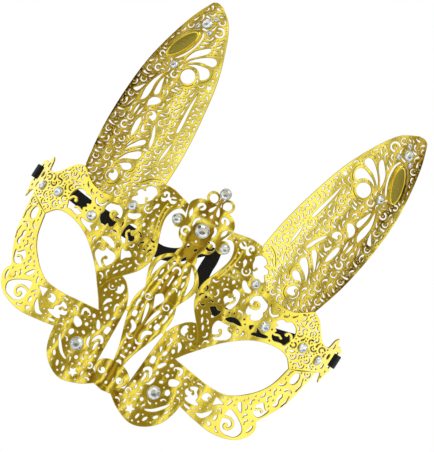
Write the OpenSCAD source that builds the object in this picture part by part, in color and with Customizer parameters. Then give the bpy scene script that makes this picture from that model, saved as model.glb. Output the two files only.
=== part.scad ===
// Rabbit-eared filigree face mask: rolled metal sheets, set stones and an elastic strap.
// Frame: millimetres, +Z up (ears), the front of the mask faces -Y, +X is the viewer's right.
// The origin is at the middle of the bridge, on the level of the two strap bars.

/* [Sheet] */
// Thickness of the cut metal sheet
sheet_t = 0.6; // [0.5:0.1:1]
// Radius of the wide front curve
front_r = 130; // [120:5:145]
// Radius of the curve beside the eyes
side_r = 75; // [70:1:80]
// Radius of the tight curve at the temples
temple_r = 30; // [28:1:32]
// Slope at which the temple runs back
temple_slope = 66; // [64:1:68]
// Radius of the raised nose ridge
ridge_r = 30; // [28:1:34]
// How far the nose ridge stands out in front of the brow
ridge_proud = 1.5; // [1.3:0.1:1.6]

/* [Ears] */
// Height of the ear tips above the strap bars
ear_top = 106; // [100:1:112]
// Length of the plain oval on each ear
medallion_l = 18.2; // [14:0.2:20]
// Width of the plain oval on each ear
medallion_w = 6.6; // [5:0.2:8]
// Angle by which both ears are sprung towards +X
ear_spring = 3.5; // [0:0.5:4]
// Angle by which both ears lean back from the brow
ear_lean = 7; // [0:0.5:9]

/* [Stones] */
// Diameter of the big stones on the cheeks and the crown
big_stone_d = 5.8; // [5:0.1:6.4]
// Diameter of the middle-sized stones
mid_stone_d = 4.2; // [3.6:0.1:4.6]
// Diameter of the tiny stones round each ear-tip stone
tiny_stone_d = 2; // [1.6:0.1:2.2]

/* [Strap] */
// Width of the elastic
strap_w = 6.4; // [5:0.2:7]
// Thickness of the elastic
strap_t = 1; // [0.8:0.1:1.2]
// Height of the strap slot in each temple tab
slot_h = 8.4; // [8:0.2:9]
// Opening of the strap slot along the tab
slot_l = 3.2; // [3:0.1:3.4]
// Width of the bar at the end of the slot
bar_w = 2; // [1.8:0.1:2.2]

/* [Hidden] */

$fn = 96;
sheet_low = -80;
sheet_high = 115;
curve_steps = 5;
fit_gap = 0.3;

// The rolled section is three tangent arcs and a straight temple. These are its joints,
// as slopes and as places on the front face.
slope_1 = 16;
slope_2 = 40;
x_1 = front_r * sin(slope_1);
y_1 = front_r * (1 - cos(slope_1));
x_2 = x_1 + side_r * (sin(slope_2) - sin(slope_1));
y_2 = y_1 + side_r * (cos(slope_1) - cos(slope_2));
x_3 = x_2 + temple_r * (sin(temple_slope) - sin(slope_2));
y_3 = y_2 + temple_r * (cos(slope_2) - cos(temple_slope));
centre_1 = [0, front_r];
centre_2 = [x_1 - side_r * sin(slope_1), y_1 + side_r * cos(slope_1)];
centre_3 = [x_2 - temple_r * sin(slope_2), y_2 + temple_r * cos(slope_2)];

// Temple tab, measured along the straight temple from the end of the last arc.
tab_start = 3;
slot_start = 16;
bar_start = slot_start + slot_l;
tab_end = bar_start + bar_w;
temple_end_x = 75;

// The strap's middle line lies on the pivot line, at the height of the bars.
strap_y = 50;
loop_end_x = 67.4;

// Crown plate and ear surfaces
crown_r = 60;
crown_proud = 1;
ear_back = sheet_t;

// Slope of the front face at a distance x from the middle
function slope_at(x) =
  x <= x_1 ? asin(x / front_r) :
  x <= x_2 ? asin((x - x_1) / side_r + sin(slope_1)) :
  x <= x_3 ? asin((x - x_2) / temple_r + sin(slope_2)) : temple_slope;
// Depth of the front face at a distance x from the middle
function depth_at(x) =
  x <= x_1 ? front_r * (1 - cos(slope_at(x))) :
  x <= x_2 ? y_1 + side_r * (cos(slope_1) - cos(slope_at(x))) :
  x <= x_3 ? y_2 + temple_r * (cos(slope_2) - cos(slope_at(x))) :
  y_3 + (x - x_3) * tan(temple_slope);

// A smooth run of points through p, without the last one, so that runs join at corners
function between(a, b, c, d, t) =
  (2 * b + (c - a) * t + (2 * a - 5 * b + 4 * c - d) * t * t + (3 * b - a - 3 * c + d) * t * t * t) / 2;
function run(p) = [
  for (i = [0 : len(p) - 2], k = [0 : curve_steps - 1])
    between(p[max(i - 1, 0)], p[i], p[i + 1], p[min(i + 2, len(p) - 1)], k / curve_steps)
];
function straight(p) = [for (i = [0 : len(p) - 2]) p[i]];
function flip(p) = [for (i = [len(p) - 1 : -1 : 0]) [-p[i][0], p[i][1]]];

// A place on an ear, in the right half's terms, turned about the middle of the ear's root
ear_root = [43, 20];
function sprung(p, side) = let (a = side * ear_spring, d = p - ear_root)
  ear_root + [d[0] * cos(a) + d[1] * sin(a), d[1] * cos(a) - d[0] * sin(a)];
// An ear leans back about a level line at the foot of its root. This is the place on the upright
// sheet that comes to p, in front view, when the ear leans.
ear_foot = 5.5;
function upright(p) =
  [p[0], ear_foot + (p[1] - ear_foot + depth_at(p[0]) * sin(ear_lean)) / cos(ear_lean)];

// Outlines of the right half, in front view: [distance from the middle, height]
ear_low = 14;
ear_outline = concat(
  run([[61, ear_low], [64.6, 30], [66.5, 47], [66.8, 65], [65, 80], [61.5, 95], [57.5, ear_top - 1]]),
  run([[57.5, ear_top - 1], [55.5, ear_top], [52.5, ear_top - 0.4]]),
  run([[52.5, ear_top - 0.4], [46, 101], [40.5, 92], [33.9, 76], [29, 55], [26.5, 39], [25.6, 26]]),
  run([[25.6, 26], [28.5, 16.5], [36, 8.5], [45, 5.5], [54, 6], [61, ear_low]])
);
brow_outline = concat(
  run([[11.6, 24.2], [15, 25], [20.5, 26.2], [25.6, 26]]),
  run([[25.6, 26], [30.5, 19], [37, 12], [45, 8.5], [53, 9], [60.5, ear_low]]),
  run([[60.5, ear_low], [64.5, 11.8], [68.4, 6.8], [71.5, 4], [temple_end_x, 3.5]]),
  straight([[temple_end_x, 3.5], [temple_end_x, -8.5]]),
  straight([[temple_end_x, -8.5], [64.4, -13.5]]),
  run([[64.4, -13.5], [60, -9], [52.4, -8.6], [43, -12], [33.2, -19.9], [25.5, -29]]),
  run([[25.5, -29], [23, -22.5], [19.5, -18.2]]),
  run([[19.5, -18.2], [15, -13], [12.8, -8.4], [12.3, -4], [12.9, 0], [15, 5.5], [16.7, 11],
    [16.9, 15], [15.6, 18.8], [13.4, 20.8], [10.8, 20.2]]),
  straight([[10.8, 20.2], [11.6, 24.2]])
);
cheek_outline = concat(
  run([[10.3, -29], [12.4, -24.3], [16.1, -19.8], [19.5, -18.2]]),
  run([[19.5, -18.2], [23, -22.5], [25.5, -29]]),
  run([[25.5, -29], [22.8, -32.4], [20, -36.5]]),
  run([[20, -36.5], [30, -37.8], [39, -38.8], [48, -37.8], [56, -32], [61.7, -24], [64.4, -13.5]]),
  straight([[64.4, -13.5], [temple_end_x, -8.5]]),
  run([[temple_end_x, -8.5], [73.6, -18], [71, -29], [64.8, -41]]),
  run([[64.8, -41], [66.3, -44.5], [65, -49], [60, -53.5], [51, -55.7], [42, -54.8], [33, -53]]),
  run([[33, -53], [32.2, -58], [29.8, -64], [24.6, -69], [18, -71], [10, -68.4], [4.6, -64.8]]),
  straight([[4.6, -64.8], [4.6, -61.6], [8.3, -59.5]]),
  run([[8.3, -59.5], [8.9, -48.3], [9.6, -36], [10.3, -29]])
);
crown_half = concat(
  run([[0, 30.6], [5, 30.2], [9.2, 28.6], [11.4, 25.4], [10.6, 22], [9.4, 18.5], [9.2, 13],
    [7.6, 10], [5, 8.8], [4, 7], [5.2, 4.4]]),
  [[5.2, 2.6]]
);
bridge_half = concat(
  run([[5.2, 2.6], [8.4, 0.4], [11, -3], [11.7, -5.2]]),
  [[12.2, -5.2], [12.2, -6.8]],
  run([[11.8, -6.8], [11.4, -9], [10.2, -12], [8.2, -16.5]]),
  [[8.2, -17]]
);
shield_half = concat(
  run([[8.2, -17], [9.6, -21], [9.9, -25], [9.3, -28.4]]),
  [[10.2, -28.4], [10.2, -30]],
  run([[8.8, -30], [6.6, -36.7], [3.7, -45], [2.4, -51.4]]),
  run([[2.4, -51.4], [5.2, -52.4], [7.8, -54.6], [8.2, -57.6], [6.4, -60.2], [4.6, -61.6]]),
  [[4.6, -64.6], [0, -65.4]]
);

// Strap route, round the pivot line: the left length and the right length cross at their joint.
strap_left_route = [
  [-67, 50, 0], [-62, 50, 0], [-57, 50, -0.5], [-51, 50, -1], [-45, 50, -1], [-39, 50, -1],
  [-33, 50, -1], [-27, 50, -1], [-21, 50, -1], [-16, 49.8, -1], [-12, 49.6, -0.6], [-8, 49.4, 1],
  [-5, 49.4, 3], [-2, 49.4, 6], [1, 49.4, 9], [5, 49.4, 13]
];
strap_right_route = [
  [7, 50.5, 14], [7.6, 50.5, 11], [8, 50.5, 8], [8, 50.5, 5], [8.2, 50.5, 2], [9, 50.5, -1],
  [10.8, 50.4, -4], [13.6, 50.3, -6.6], [17, 50.2, -8.4], [22, 50, -9], [28, 50, -9], [35, 50, -8.4],
  [42, 50, -7], [49, 50, -5], [56, 50, -3], [62, 50, -1], [67, 50, 0]
];

// A piece of a ring between two radii and two slopes, on the right half of the section
module arc_band(centre, r_out, r_in, from, to) {
  far = r_out * 2;
  intersection() {
    translate(centre) difference() {
      circle(r = r_out);
      circle(r = r_in);
    }
    polygon([
      centre,
      centre + far * [sin(from), -cos(from)],
      centre + far * [sin(to), -cos(to)]
    ]);
  }
}

// Section of the rolled sheet in plan; back moves it behind the front face
module half_section(back) {
  arc_band(centre_1, front_r - back, front_r - back - sheet_t, 0, slope_1);
  arc_band(centre_2, side_r - back, side_r - back - sheet_t, slope_1, slope_2);
  arc_band(centre_3, temple_r - back, temple_r - back - sheet_t, slope_2, temple_slope);
  translate([x_3, y_3]) rotate(temple_slope) translate([0, back]) square([tab_end, sheet_t]);
}

// A rolled sheet of the right half, cut to an outline
module rolled_sheet(outline, back) {
  intersection() {
    translate([0, 0, sheet_low]) linear_extrude(sheet_high - sheet_low) half_section(back);
    rotate([90, 0, 0]) translate([0, 0, -60]) linear_extrude(70) polygon(outline);
  }
}

// A sheet bent about the middle line, cut to its children's outline
module ridged_sheet(radius, proud) {
  intersection() {
    translate([0, radius - proud, sheet_low]) difference() {
      cylinder(r = radius, h = sheet_high - sheet_low);
      translate([0, 0, -1]) cylinder(r = radius - sheet_t, h = sheet_high - sheet_low + 2);
    }
    rotate([90, 0, 0]) translate([0, 0, -15]) linear_extrude(25) children();
  }
}

module to_side(side) {
  mirror([side < 0 ? 1 : 0, 0, 0]) children();
}

module leaned() {
  translate([0, 0, ear_foot]) rotate([-ear_lean, 0, 0]) translate([0, 0, -ear_foot]) children();
}

// Brow sheet: from the crown arm to the temple, over the eye
module brow(side) {
  color("gold") to_side(side) difference() {
    rolled_sheet(brow_outline, 0);
    // the three largest lace openings; the finer lace is left out here
    for (hole = [[37, 3, 3.6], [21, 3, 2.2], [52, 1, 2.8]])
      translate([hole[0], 0, hole[1]]) rotate([-90, 0, 0]) cylinder(r = hole[2], h = 60, center = true);
  }
}

// Cheek sheet: the lower lid, the side strip and the two lobes
module cheek(side) {
  color("gold") to_side(side) difference() {
    rolled_sheet(cheek_outline, 0);
    for (hole = [[57, -47, 3.2], [40, -46, 2.6], [16, -65, 2], [14, -44, 1.8]])
      translate([hole[0], 0, hole[1]]) rotate([-90, 0, 0]) cylinder(r = hole[2], h = 60, center = true);
  }
}

// A teardrop petal with its point beside the origin, leaning by angle
module petal(angle, length, radius) {
  rotate(angle) {
    translate([0, length - radius]) circle(r = radius);
    polygon([[0, 1.6], [radius, length - radius], [-radius, length - radius]]);
  }
}

// Ear sheet, lapped behind the brow: the fan of petals and the long slits are open
ear_fan = [54.6, 73.3];
module ear(side) {
  color("gold") leaned() to_side(side) difference() {
    rolled_sheet([for (p = ear_outline) upright(sprung(p, side))], ear_back);
    rotate([90, 0, 0]) translate([0, 0, -60]) linear_extrude(70)
      translate(upright(ear_root)) rotate(-side * ear_spring) translate(-ear_root) {
      for (leaf = [[22, 15, 1.3], [42, 16, 1.9], [70, 14, 2.4]])
        translate(ear_fan) petal(leaf[0], leaf[1], leaf[2]);
      translate([49, 70.6]) circle(r = 3.3);
      polygon([[40.6, 70], [40, 70], [35.6, 50], [37.4, 50]]);
      polygon([[36.2, 46], [34.9, 46], [33.6, 32], [34.8, 32]]);
    }
  }
}

// Plain oval plate on the ear: the top of its long axis leans towards the other ear
medallion_x = 57.4;
medallion_z = 82.3;
medallion_lean = 22;
module ear_medallion(side) {
  place = upright(sprung([medallion_x, medallion_z], side));
  color("darkkhaki") leaned() to_side(side)
    translate([place[0], depth_at(place[0]), place[1]]) rotate([0, 0, slope_at(place[0])])
      rotate([90, side * ear_spring - medallion_lean, 0]) translate([0, 0, 0.1 - ear_back])
        linear_extrude(sheet_t)
          polygon([for (i = [0:6:354]) [medallion_w / 2 * cos(i), medallion_l / 2 * sin(i)]]);
}

// Runs its children from the flat tab plane (X along the temple, Y up) to the right temple
module on_temple(back) {
  translate([x_3, y_3, 0]) rotate([0, 0, temple_slope])
    rotate([90, 0, 0]) translate([0, 0, -back]) children();
}

// Winged end fitting with the strap slot and its bar
module temple_tab(side) {
  color("gold") to_side(side) on_temple(2 * sheet_t) linear_extrude(sheet_t) difference() {
    polygon(concat(
      run([[tab_start, 3], [8, 4], [10, 8], [13, 9.6], [15, 6.4], [18, 6.6], [tab_end, 5.4]]),
      straight([[tab_end, 5.4], [tab_end, -5.4]]),
      run([[tab_end, -5.4], [19, -8], [17.5, -12], [14.5, -8], [10, -8.4], [8, -6], [tab_start, -7]]),
      [[tab_start, -7]]
    ));
    translate([slot_start, -slot_h / 2]) square([slot_l, slot_h]);
    translate([11.6, 5]) circle(r = 1.1);
    translate([12, -4.6]) circle(r = 1.3);
  }
}

module ring(r_out, r_in) {
  difference() {
    circle(r = r_out);
    circle(r = r_in);
  }
}

// Crown plate: flower body, two scrolls, and seats for the top and side stones
crown_top_z = 36.6;
side_stone = [12.4, 16];
module crown_plate() {
  color("gold") {
    ridged_sheet(crown_r, crown_proud) difference() {
      polygon(concat(crown_half, flip(crown_half)));
      for (side = [-1, 1]) {
        translate([side * 5.6, 25.6]) circle(r = 1.7);
        translate([side * 5.6, 13]) circle(r = 1.6);
        translate([side * 1.5, 8]) circle(r = 0.7);
      }
    }
    for (side = [-1, 1]) {
      ridged_sheet(crown_r, crown_proud) translate([side * 3.6, 32.7]) ring(2.9, 1.7);
      ridged_sheet(crown_r, crown_proud) translate([side * 11.4, side_stone[1]]) circle(r = 3);
    }
    ridged_sheet(crown_r, crown_proud) translate([-0.6, 30]) square([1.2, 5]);
    ridged_sheet(crown_r, crown_proud) translate([0, crown_top_z]) circle(r = mid_stone_d / 2 + 0.4);
  }
}

// Lantern-shaped bridge: a filigree body between two bowed bars
module nose_bridge() {
  color("gold") ridged_sheet(ridge_r, ridge_proud) difference() {
    polygon(concat(bridge_half, flip(bridge_half)));
    for (side = [-1, 1])
      mirror([side == 1 ? 0 : 1, 0]) polygon(concat(
        run([[4.6, 1.2], [8.4, -1.6], [10, -5], [9.8, -8.6], [8.6, -12]]),
        run([[8.6, -12], [8, -8], [6.8, -4], [5.4, -1], [4.6, 1.2]])
      ));
    translate([0, -0.8]) circle(r = 1);
    translate([0, -5.4]) circle(r = 1.3);
  }
}

// Heart-shaped nose shield, running down to the scrolled tip between the cheeks
module nose_shield() {
  color("goldenrod") ridged_sheet(ridge_r, ridge_proud) difference() {
    polygon(concat(shield_half, flip(shield_half)));
    polygon([[0, -16.9], [2.4, -19], [0, -23], [-2.4, -19]]);
    for (side = [-1, 1]) {
      translate([side * 5.4, -26.6]) circle(r = 1.6);
      translate([side * 5.4, -56.8]) circle(r = 1.3);
    }
    translate([0, -61.8]) circle(r = 0.9);
  }
}

// A flat-backed stone: girdle, bevelled crown and flat table, facing out along -Y
module stone(d) {
  rotate([90, 0, 0]) {
    cylinder(d = d, h = 0.16 * d, $fn = 48);
    translate([0, 0, 0.16 * d]) cylinder(d1 = d, d2 = 0.56 * d, h = 0.2 * d, $fn = 48);
  }
}

// A stone on the rolled sheet; back is how far its sheet lies behind the front face
module sheet_stone(side, x, z, d, back) {
  color("white") to_side(side)
    translate([x, depth_at(x), z]) rotate([0, 0, slope_at(x)]) translate([0, back, 0]) stone(d);
}

// A stone on the crown plate
module crown_stone(side, x, z, d) {
  lean = asin(x / crown_r);
  color("white") to_side(side)
    translate([x, crown_r * (1 - cos(lean)) - crown_proud, z]) rotate([0, 0, lean]) stone(d);
}

// A stone on an ear
module ear_stone(side, x, z, d) {
  place = upright(sprung([x, z], side));
  leaned() sheet_stone(side, place[0], place[1], d, ear_back);
}

// The three tiny stones round an ear-tip stone
tip_chips = [[51.6, 99.6], [56.8, 92.8], [50.4, 92.8]];
module ear_tip_chips(side) {
  for (place = tip_chips)
    ear_stone(side, place[0], place[1], tiny_stone_d);
}

// End of the elastic: it passes through the slot, round the bar, and is sewn to itself
module strap_loop(side) {
  middle = bar_start + bar_w / 2;
  hole_l = bar_w + 2 * fit_gap;
  hole_t = sheet_t + 2 * fit_gap;
  color("black") to_side(side) translate([0, 0, -strap_w / 2]) linear_extrude(strap_w) difference() {
    union() {
      translate([x_3, y_3]) rotate(temple_slope) translate([middle, 1.5 * sheet_t])
        square([hole_l + 2 * strap_t, hole_t + 2 * strap_t], center = true);
      translate([loop_end_x, strap_y - strap_t]) square([9.8, 2 * strap_t]);
    }
    translate([x_3, y_3]) rotate(temple_slope) translate([middle, 1.5 * sheet_t])
      square([hole_l, hole_t], center = true);
  }
}

// A flat band swept along a route: eight corners a ring, the width held across the route
function unit(v) = v / norm(v);
function smooth_route(p) = concat(
  [for (i = [0 : len(p) - 2], k = [0 : 1])
    between(p[max(i - 1, 0)], p[i], p[i + 1], p[min(i + 2, len(p) - 1)], k / 2)],
  [p[len(p) - 1]]
);
function heading(p, i) =
  i == 0 || i == len(p) - 1 ? [1, 0, 0] : unit([p[i + 1][0] - p[i - 1][0], 0, p[i + 1][2] - p[i - 1][2]]);
band_corner = 0.3;
band_section = [
  [-strap_w / 2, -strap_t / 2 + band_corner], [-strap_w / 2 + band_corner, -strap_t / 2],
  [strap_w / 2 - band_corner, -strap_t / 2], [strap_w / 2, -strap_t / 2 + band_corner],
  [strap_w / 2, strap_t / 2 - band_corner], [strap_w / 2 - band_corner, strap_t / 2],
  [-strap_w / 2 + band_corner, strap_t / 2], [-strap_w / 2, strap_t / 2 - band_corner]
];
module band(route, first_heading, last_heading) {
  p = smooth_route(route);
  count = len(p);
  sides = len(band_section);
  points = [
    for (i = [0 : count - 1])
      let (h = i == 0 ? first_heading : i == count - 1 ? last_heading : heading(p, i))
        for (c = band_section) p[i] + c[0] * [-h[2], 0, h[0]] + [0, c[1], 0]
  ];
  faces = concat(
    [[for (k = [0 : sides - 1]) k]],
    [for (i = [0 : count - 2], k = [0 : sides - 1]) let (n = (k + 1) % sides)
      [i * sides + k, (i + 1) * sides + k, (i + 1) * sides + n, i * sides + n]],
    [[for (k = [sides - 1 : -1 : 0]) (count - 1) * sides + k]]
  );
  polyhedron(points = points, faces = faces);
}

module strap_left() {
  color("black") band(strap_left_route, [1, 0, 0], unit([1, 0, 1]));
}

module strap_right() {
  color("black") band(strap_right_route, unit([0.3, 0, -1]), [1, 0, 0]);
}

// Stitched bar that holds the two lengths of elastic together where they cross
module strap_bar_tack() {
  color("dimgray") translate([5.5, strap_y, 11.5]) cube([1.2, 2.4, 3.6], center = true);
}

brow(-1);  // brow_left
brow(1);  // brow_right
cheek(-1);  // cheek_left
cheek(1);  // cheek_right
ear(-1);  // ear_left
ear(1);  // ear_right
ear_medallion(-1);  // ear_medallion_left
ear_medallion(1);  // ear_medallion_right
temple_tab(-1);  // temple_tab_left
temple_tab(1);  // temple_tab_right
crown_plate();
nose_bridge();
nose_shield();
crown_stone(1, 0, crown_top_z, mid_stone_d + 0.6);  // crown_top_stone
crown_stone(1, 0, 17.4, big_stone_d + 0.4);  // crown_centre_stone
crown_stone(-1, side_stone[0], side_stone[1], mid_stone_d);  // crown_side_stone_left
crown_stone(1, side_stone[0], side_stone[1], mid_stone_d);  // crown_side_stone_right
sheet_stone(-1, 32.2, 10.2, mid_stone_d - 0.4, 0);  // upper_brow_stone_left
sheet_stone(1, 32.2, 10.2, mid_stone_d - 0.4, 0);  // upper_brow_stone_right
sheet_stone(-1, 45.5, -3.2, mid_stone_d, 0);  // brow_stone_left
sheet_stone(1, 45.5, -3.2, mid_stone_d, 0);  // brow_stone_right
sheet_stone(-1, 64.3, -2.3, mid_stone_d, 0);  // inner_temple_stone_left
sheet_stone(1, 64.3, -2.3, mid_stone_d, 0);  // inner_temple_stone_right
sheet_stone(-1, 72.6, -3.7, mid_stone_d, 0);  // outer_temple_stone_left
sheet_stone(1, 72.6, -3.7, mid_stone_d, 0);  // outer_temple_stone_right
sheet_stone(-1, 20.1, -54.1, big_stone_d, 0);  // cheek_stone_left
sheet_stone(1, 20.1, -54.1, big_stone_d, 0);  // cheek_stone_right
ear_stone(-1, 55, 72.4, mid_stone_d - 0.7);  // ear_stone_left
ear_stone(1, 55, 72.4, mid_stone_d - 0.7);  // ear_stone_right
ear_stone(-1, 53.6, 95.8, mid_stone_d + 0.2);  // ear_tip_stone_left
ear_stone(1, 53.6, 95.8, mid_stone_d + 0.2);  // ear_tip_stone_right
ear_tip_chips(-1);  // ear_tip_chips_left
ear_tip_chips(1);  // ear_tip_chips_right
strap_loop(-1);  // strap_loop_left
strap_loop(1);  // strap_loop_right
strap_left();
strap_right();
strap_bar_tack();
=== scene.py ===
import math
import random

import bpy
import numpy as np
from mathutils import Matrix, Vector
from mathutils.geometry import delaunay_2d_cdt


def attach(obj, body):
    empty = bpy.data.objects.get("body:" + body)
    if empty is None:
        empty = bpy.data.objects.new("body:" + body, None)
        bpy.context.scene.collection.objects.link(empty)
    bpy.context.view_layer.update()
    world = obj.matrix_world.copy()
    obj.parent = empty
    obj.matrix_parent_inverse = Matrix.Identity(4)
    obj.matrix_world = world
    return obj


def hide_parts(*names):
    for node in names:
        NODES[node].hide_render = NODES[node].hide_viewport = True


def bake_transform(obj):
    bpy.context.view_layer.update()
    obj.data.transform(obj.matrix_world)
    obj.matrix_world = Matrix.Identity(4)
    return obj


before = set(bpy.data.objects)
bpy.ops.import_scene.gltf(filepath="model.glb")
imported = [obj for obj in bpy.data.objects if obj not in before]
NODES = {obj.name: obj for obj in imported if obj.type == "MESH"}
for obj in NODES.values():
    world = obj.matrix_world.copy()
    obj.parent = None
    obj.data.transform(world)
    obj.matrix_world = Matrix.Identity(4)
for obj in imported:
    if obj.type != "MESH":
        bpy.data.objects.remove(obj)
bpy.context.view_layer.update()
MM = 0.001
SIDES = ((-1, "left"), (1, "right"))

# ---------------------------------------------------------------- camera
AZIMUTH = math.radians(2.4)
ROLL = math.radians(32.6)
DISTANCE = 2.4
FOCAL_LENGTH, SENSOR = 431.6, 36
TARGET = Vector((0.00346, 0.015, 0.02275))


def make_camera():
    forward = Vector((-math.sin(AZIMUTH), math.cos(AZIMUTH), 0))
    level = Vector((math.cos(AZIMUTH), math.sin(AZIMUTH), 0))
    up = Vector((0, 0, 1))
    right = level * math.cos(ROLL) + up * math.sin(ROLL)
    top = up * math.cos(ROLL) - level * math.sin(ROLL)
    data = bpy.data.cameras.new("camera")
    data.sensor_width = SENSOR
    data.lens = FOCAL_LENGTH
    data.clip_start = 0.01
    data.clip_end = 20
    cam = bpy.data.objects.new("camera", data)
    bpy.context.scene.collection.objects.link(cam)
    m = Matrix((right, top, -forward)).transposed().to_4x4()
    m.translation = TARGET - forward * DISTANCE
    cam.matrix_world = m
    bpy.context.scene.camera = cam


make_camera()

# ---------------------------------------------------------------- materials


def color_ramp(tree, value, stops):
    """A ramp of (place, colour) stops over a value; gives its colour."""
    node = tree.nodes.new("ShaderNodeValToRGB")
    while len(node.color_ramp.elements) < len(stops):
        node.color_ramp.elements.new(0.5)
    for element, (place, color) in zip(node.color_ramp.elements, stops):
        element.position = place
        element.color = (*color, 1)
    tree.links.new(value, node.inputs["Fac"])
    return node.outputs["Color"]


class Nodes:
    """Short calls for building one material's node tree."""

    def __init__(self, name):
        self.mat = bpy.data.materials.new(name)
        self.mat.use_nodes = True
        self.tree = self.mat.node_tree
        self.bsdf = self.tree.nodes["Principled BSDF"]
        self.coord = self.tree.nodes.new("ShaderNodeTexCoord")

    def add(self, kind, **settings):
        node = self.tree.nodes.new(kind)
        for key, value in settings.items():
            setattr(node, key, value)
        return node

    def link(self, a, b):
        self.tree.links.new(a, b)

    def noise(self, scale, detail, rough=0.5):
        node = self.add("ShaderNodeTexNoise")
        node.inputs["Scale"].default_value = scale
        node.inputs["Detail"].default_value = detail
        node.inputs["Roughness"].default_value = rough
        self.link(self.coord.outputs["Object"], node.inputs["Vector"])
        return node.outputs["Fac"]

    def ramp(self, value, stops):
        return color_ramp(self.tree, value, stops)

    def mix(self, factor, a, b):
        """Mixes two colours; 0, 6 and 7 are the factor and colour sockets of a colour mix."""
        node = self.add("ShaderNodeMix", data_type="RGBA")
        for index, value in ((0, factor), (6, a), (7, b)):
            if hasattr(value, "is_linked"):
                self.link(value, node.inputs[index])
            else:
                node.inputs[index].default_value = value if index == 0 else (*value, 1)
        return node.outputs[2]

    def grey(self, value, low, high):
        """A plain number that follows the noise, such as a roughness."""
        return self.ramp(value, [(0.3, (low,) * 3), (0.7, (high,) * 3)])

    def bump(self, height, distance, strength=1.0, under=None):
        node = self.add("ShaderNodeBump")
        node.inputs["Distance"].default_value = distance
        node.inputs["Strength"].default_value = strength
        self.link(height, node.inputs["Height"])
        if under is not None:
            self.link(under, node.inputs["Normal"])
        return node.outputs["Normal"]


def gold_material():
    n = Nodes("gilt_sheet")
    n.bsdf.inputs["Metallic"].default_value = 1
    worn = n.noise(95, 4, 0.55)
    face = n.ramp(worn, [(0.32, (0.82, 0.64, 0.085)), (0.68, (0.94, 0.76, 0.125))])
    # Painted shade: a dark brown is mixed in over the cut edges. It fades in across the chamfer, is full at the top
    # of the walls, and is about a third on the back of the sheet.
    painted_shade = n.add("ShaderNodeAttribute", attribute_name="painted_shade").outputs["Fac"]
    color = n.mix(painted_shade, face, (0.17, 0.085, 0.006))
    n.link(color, n.bsdf.inputs["Base Color"])
    n.link(n.grey(n.noise(420, 3), 0.05, 0.10), n.bsdf.inputs["Roughness"])
    wavy = n.bump(n.noise(58, 1.5), 0.0016, 0.55)
    dents = n.bump(n.noise(230, 2), 0.00015, 0.5, wavy)
    n.link(n.bump(n.noise(2600, 2), 0.00001, 0.5, dents), n.bsdf.inputs["Normal"])
    return n.mat


def matt_material():
    n = Nodes("gilt_matt")
    n.bsdf.inputs["Metallic"].default_value = 0.85
    grain = n.noise(1500, 4, 0.6)
    n.link(
        n.ramp(grain, [(0.3, (0.26, 0.20, 0.028)), (0.7, (0.37, 0.30, 0.05))]),
        n.bsdf.inputs["Base Color"],
    )
    n.link(n.grey(grain, 0.42, 0.6), n.bsdf.inputs["Roughness"])
    n.link(n.bump(n.noise(2600, 3), 0.00006, 0.7), n.bsdf.inputs["Normal"])
    return n.mat


def crystal_material():
    n = Nodes("crystal")
    n.bsdf.inputs["Metallic"].default_value = 0.55
    n.bsdf.inputs["Coat Weight"].default_value = 1
    n.bsdf.inputs["Coat Roughness"].default_value = 0.02
    # Painted highlights and shade: each facet carries a brightness that this ramp turns into near black through to
    # white, in place of the stone's glints and dark reflections.
    facet_painted_light = n.add("ShaderNodeAttribute", attribute_name="painted_facet_light").outputs["Fac"]
    haze = n.noise(700, 2)
    n.link(
        n.mix(
            0.18,
            n.ramp(facet_painted_light, [
                (0.0, (0.05, 0.055, 0.07)), (0.3, (0.34, 0.37, 0.43)), (0.62, (0.72, 0.76, 0.83)), (0.9, (1, 1, 1)),
            ]),
            n.grey(haze, 0.35, 0.9),
        ),
        n.bsdf.inputs["Base Color"],
    )
    n.link(n.grey(haze, 0.05, 0.14), n.bsdf.inputs["Roughness"])
    return n.mat


def foil_material():
    n = Nodes("stone_rim")
    n.bsdf.inputs["Metallic"].default_value = 1
    fleck = n.noise(900, 3)
    n.link(
        n.ramp(fleck, [(0.35, (0.36, 0.36, 0.37)), (0.65, (0.66, 0.66, 0.68))]),
        n.bsdf.inputs["Base Color"],
    )
    n.link(n.grey(fleck, 0.28, 0.42), n.bsdf.inputs["Roughness"])
    return n.mat


def elastic_material():
    n = Nodes("black_elastic")
    n.bsdf.inputs["Sheen Weight"].default_value = 0.08
    n.bsdf.inputs["Sheen Roughness"].default_value = 0.5
    n.bsdf.inputs["Specular IOR Level"].default_value = 0.12
    yarn = n.noise(1900, 3, 0.6)
    n.link(
        n.ramp(yarn, [(0.3, (0.004, 0.004, 0.005)), (0.72, (0.020, 0.020, 0.023))]),
        n.bsdf.inputs["Base Color"],
    )
    n.link(n.grey(yarn, 0.75, 0.95), n.bsdf.inputs["Roughness"])
    cross = n.add("ShaderNodeTexWave", wave_type="BANDS", bands_direction="X")
    cross.inputs["Scale"].default_value = 330
    cross.inputs["Distortion"].default_value = 3
    cross.inputs["Detail"].default_value = 2
    n.link(n.coord.outputs["Object"], cross.inputs["Vector"])
    n.link(n.bump(cross.outputs["Fac"], 0.00012, 0.8), n.bsdf.inputs["Normal"])
    return n.mat


def thread_material():
    n = Nodes("black_thread")
    twist = n.noise(5200, 2)
    n.link(
        n.ramp(twist, [(0.3, (0.012, 0.012, 0.014)), (0.7, (0.05, 0.05, 0.055))]),
        n.bsdf.inputs["Base Color"],
    )
    n.link(n.grey(twist, 0.55, 0.75), n.bsdf.inputs["Roughness"])
    n.link(n.bump(twist, 0.00004, 0.8), n.bsdf.inputs["Normal"])
    return n.mat


GOLD = gold_material()
MATT = matt_material()
CRYSTAL = crystal_material()
FOIL = foil_material()
ELASTIC = elastic_material()
THREAD = thread_material()


def add_object(name, mesh, materials):
    obj = bpy.data.objects.new(name, mesh)
    for material in materials:
        mesh.materials.append(material)
    bpy.context.scene.collection.objects.link(obj)
    return obj


# ---------------------------------------------------------------- plane curves
def between(a, b, c, d, t):
    return (2 * b + (c - a) * t + (2 * a - 5 * b + 4 * c - d) * t * t + (3 * b - a - 3 * c + d) * t**3) / 2


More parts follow.
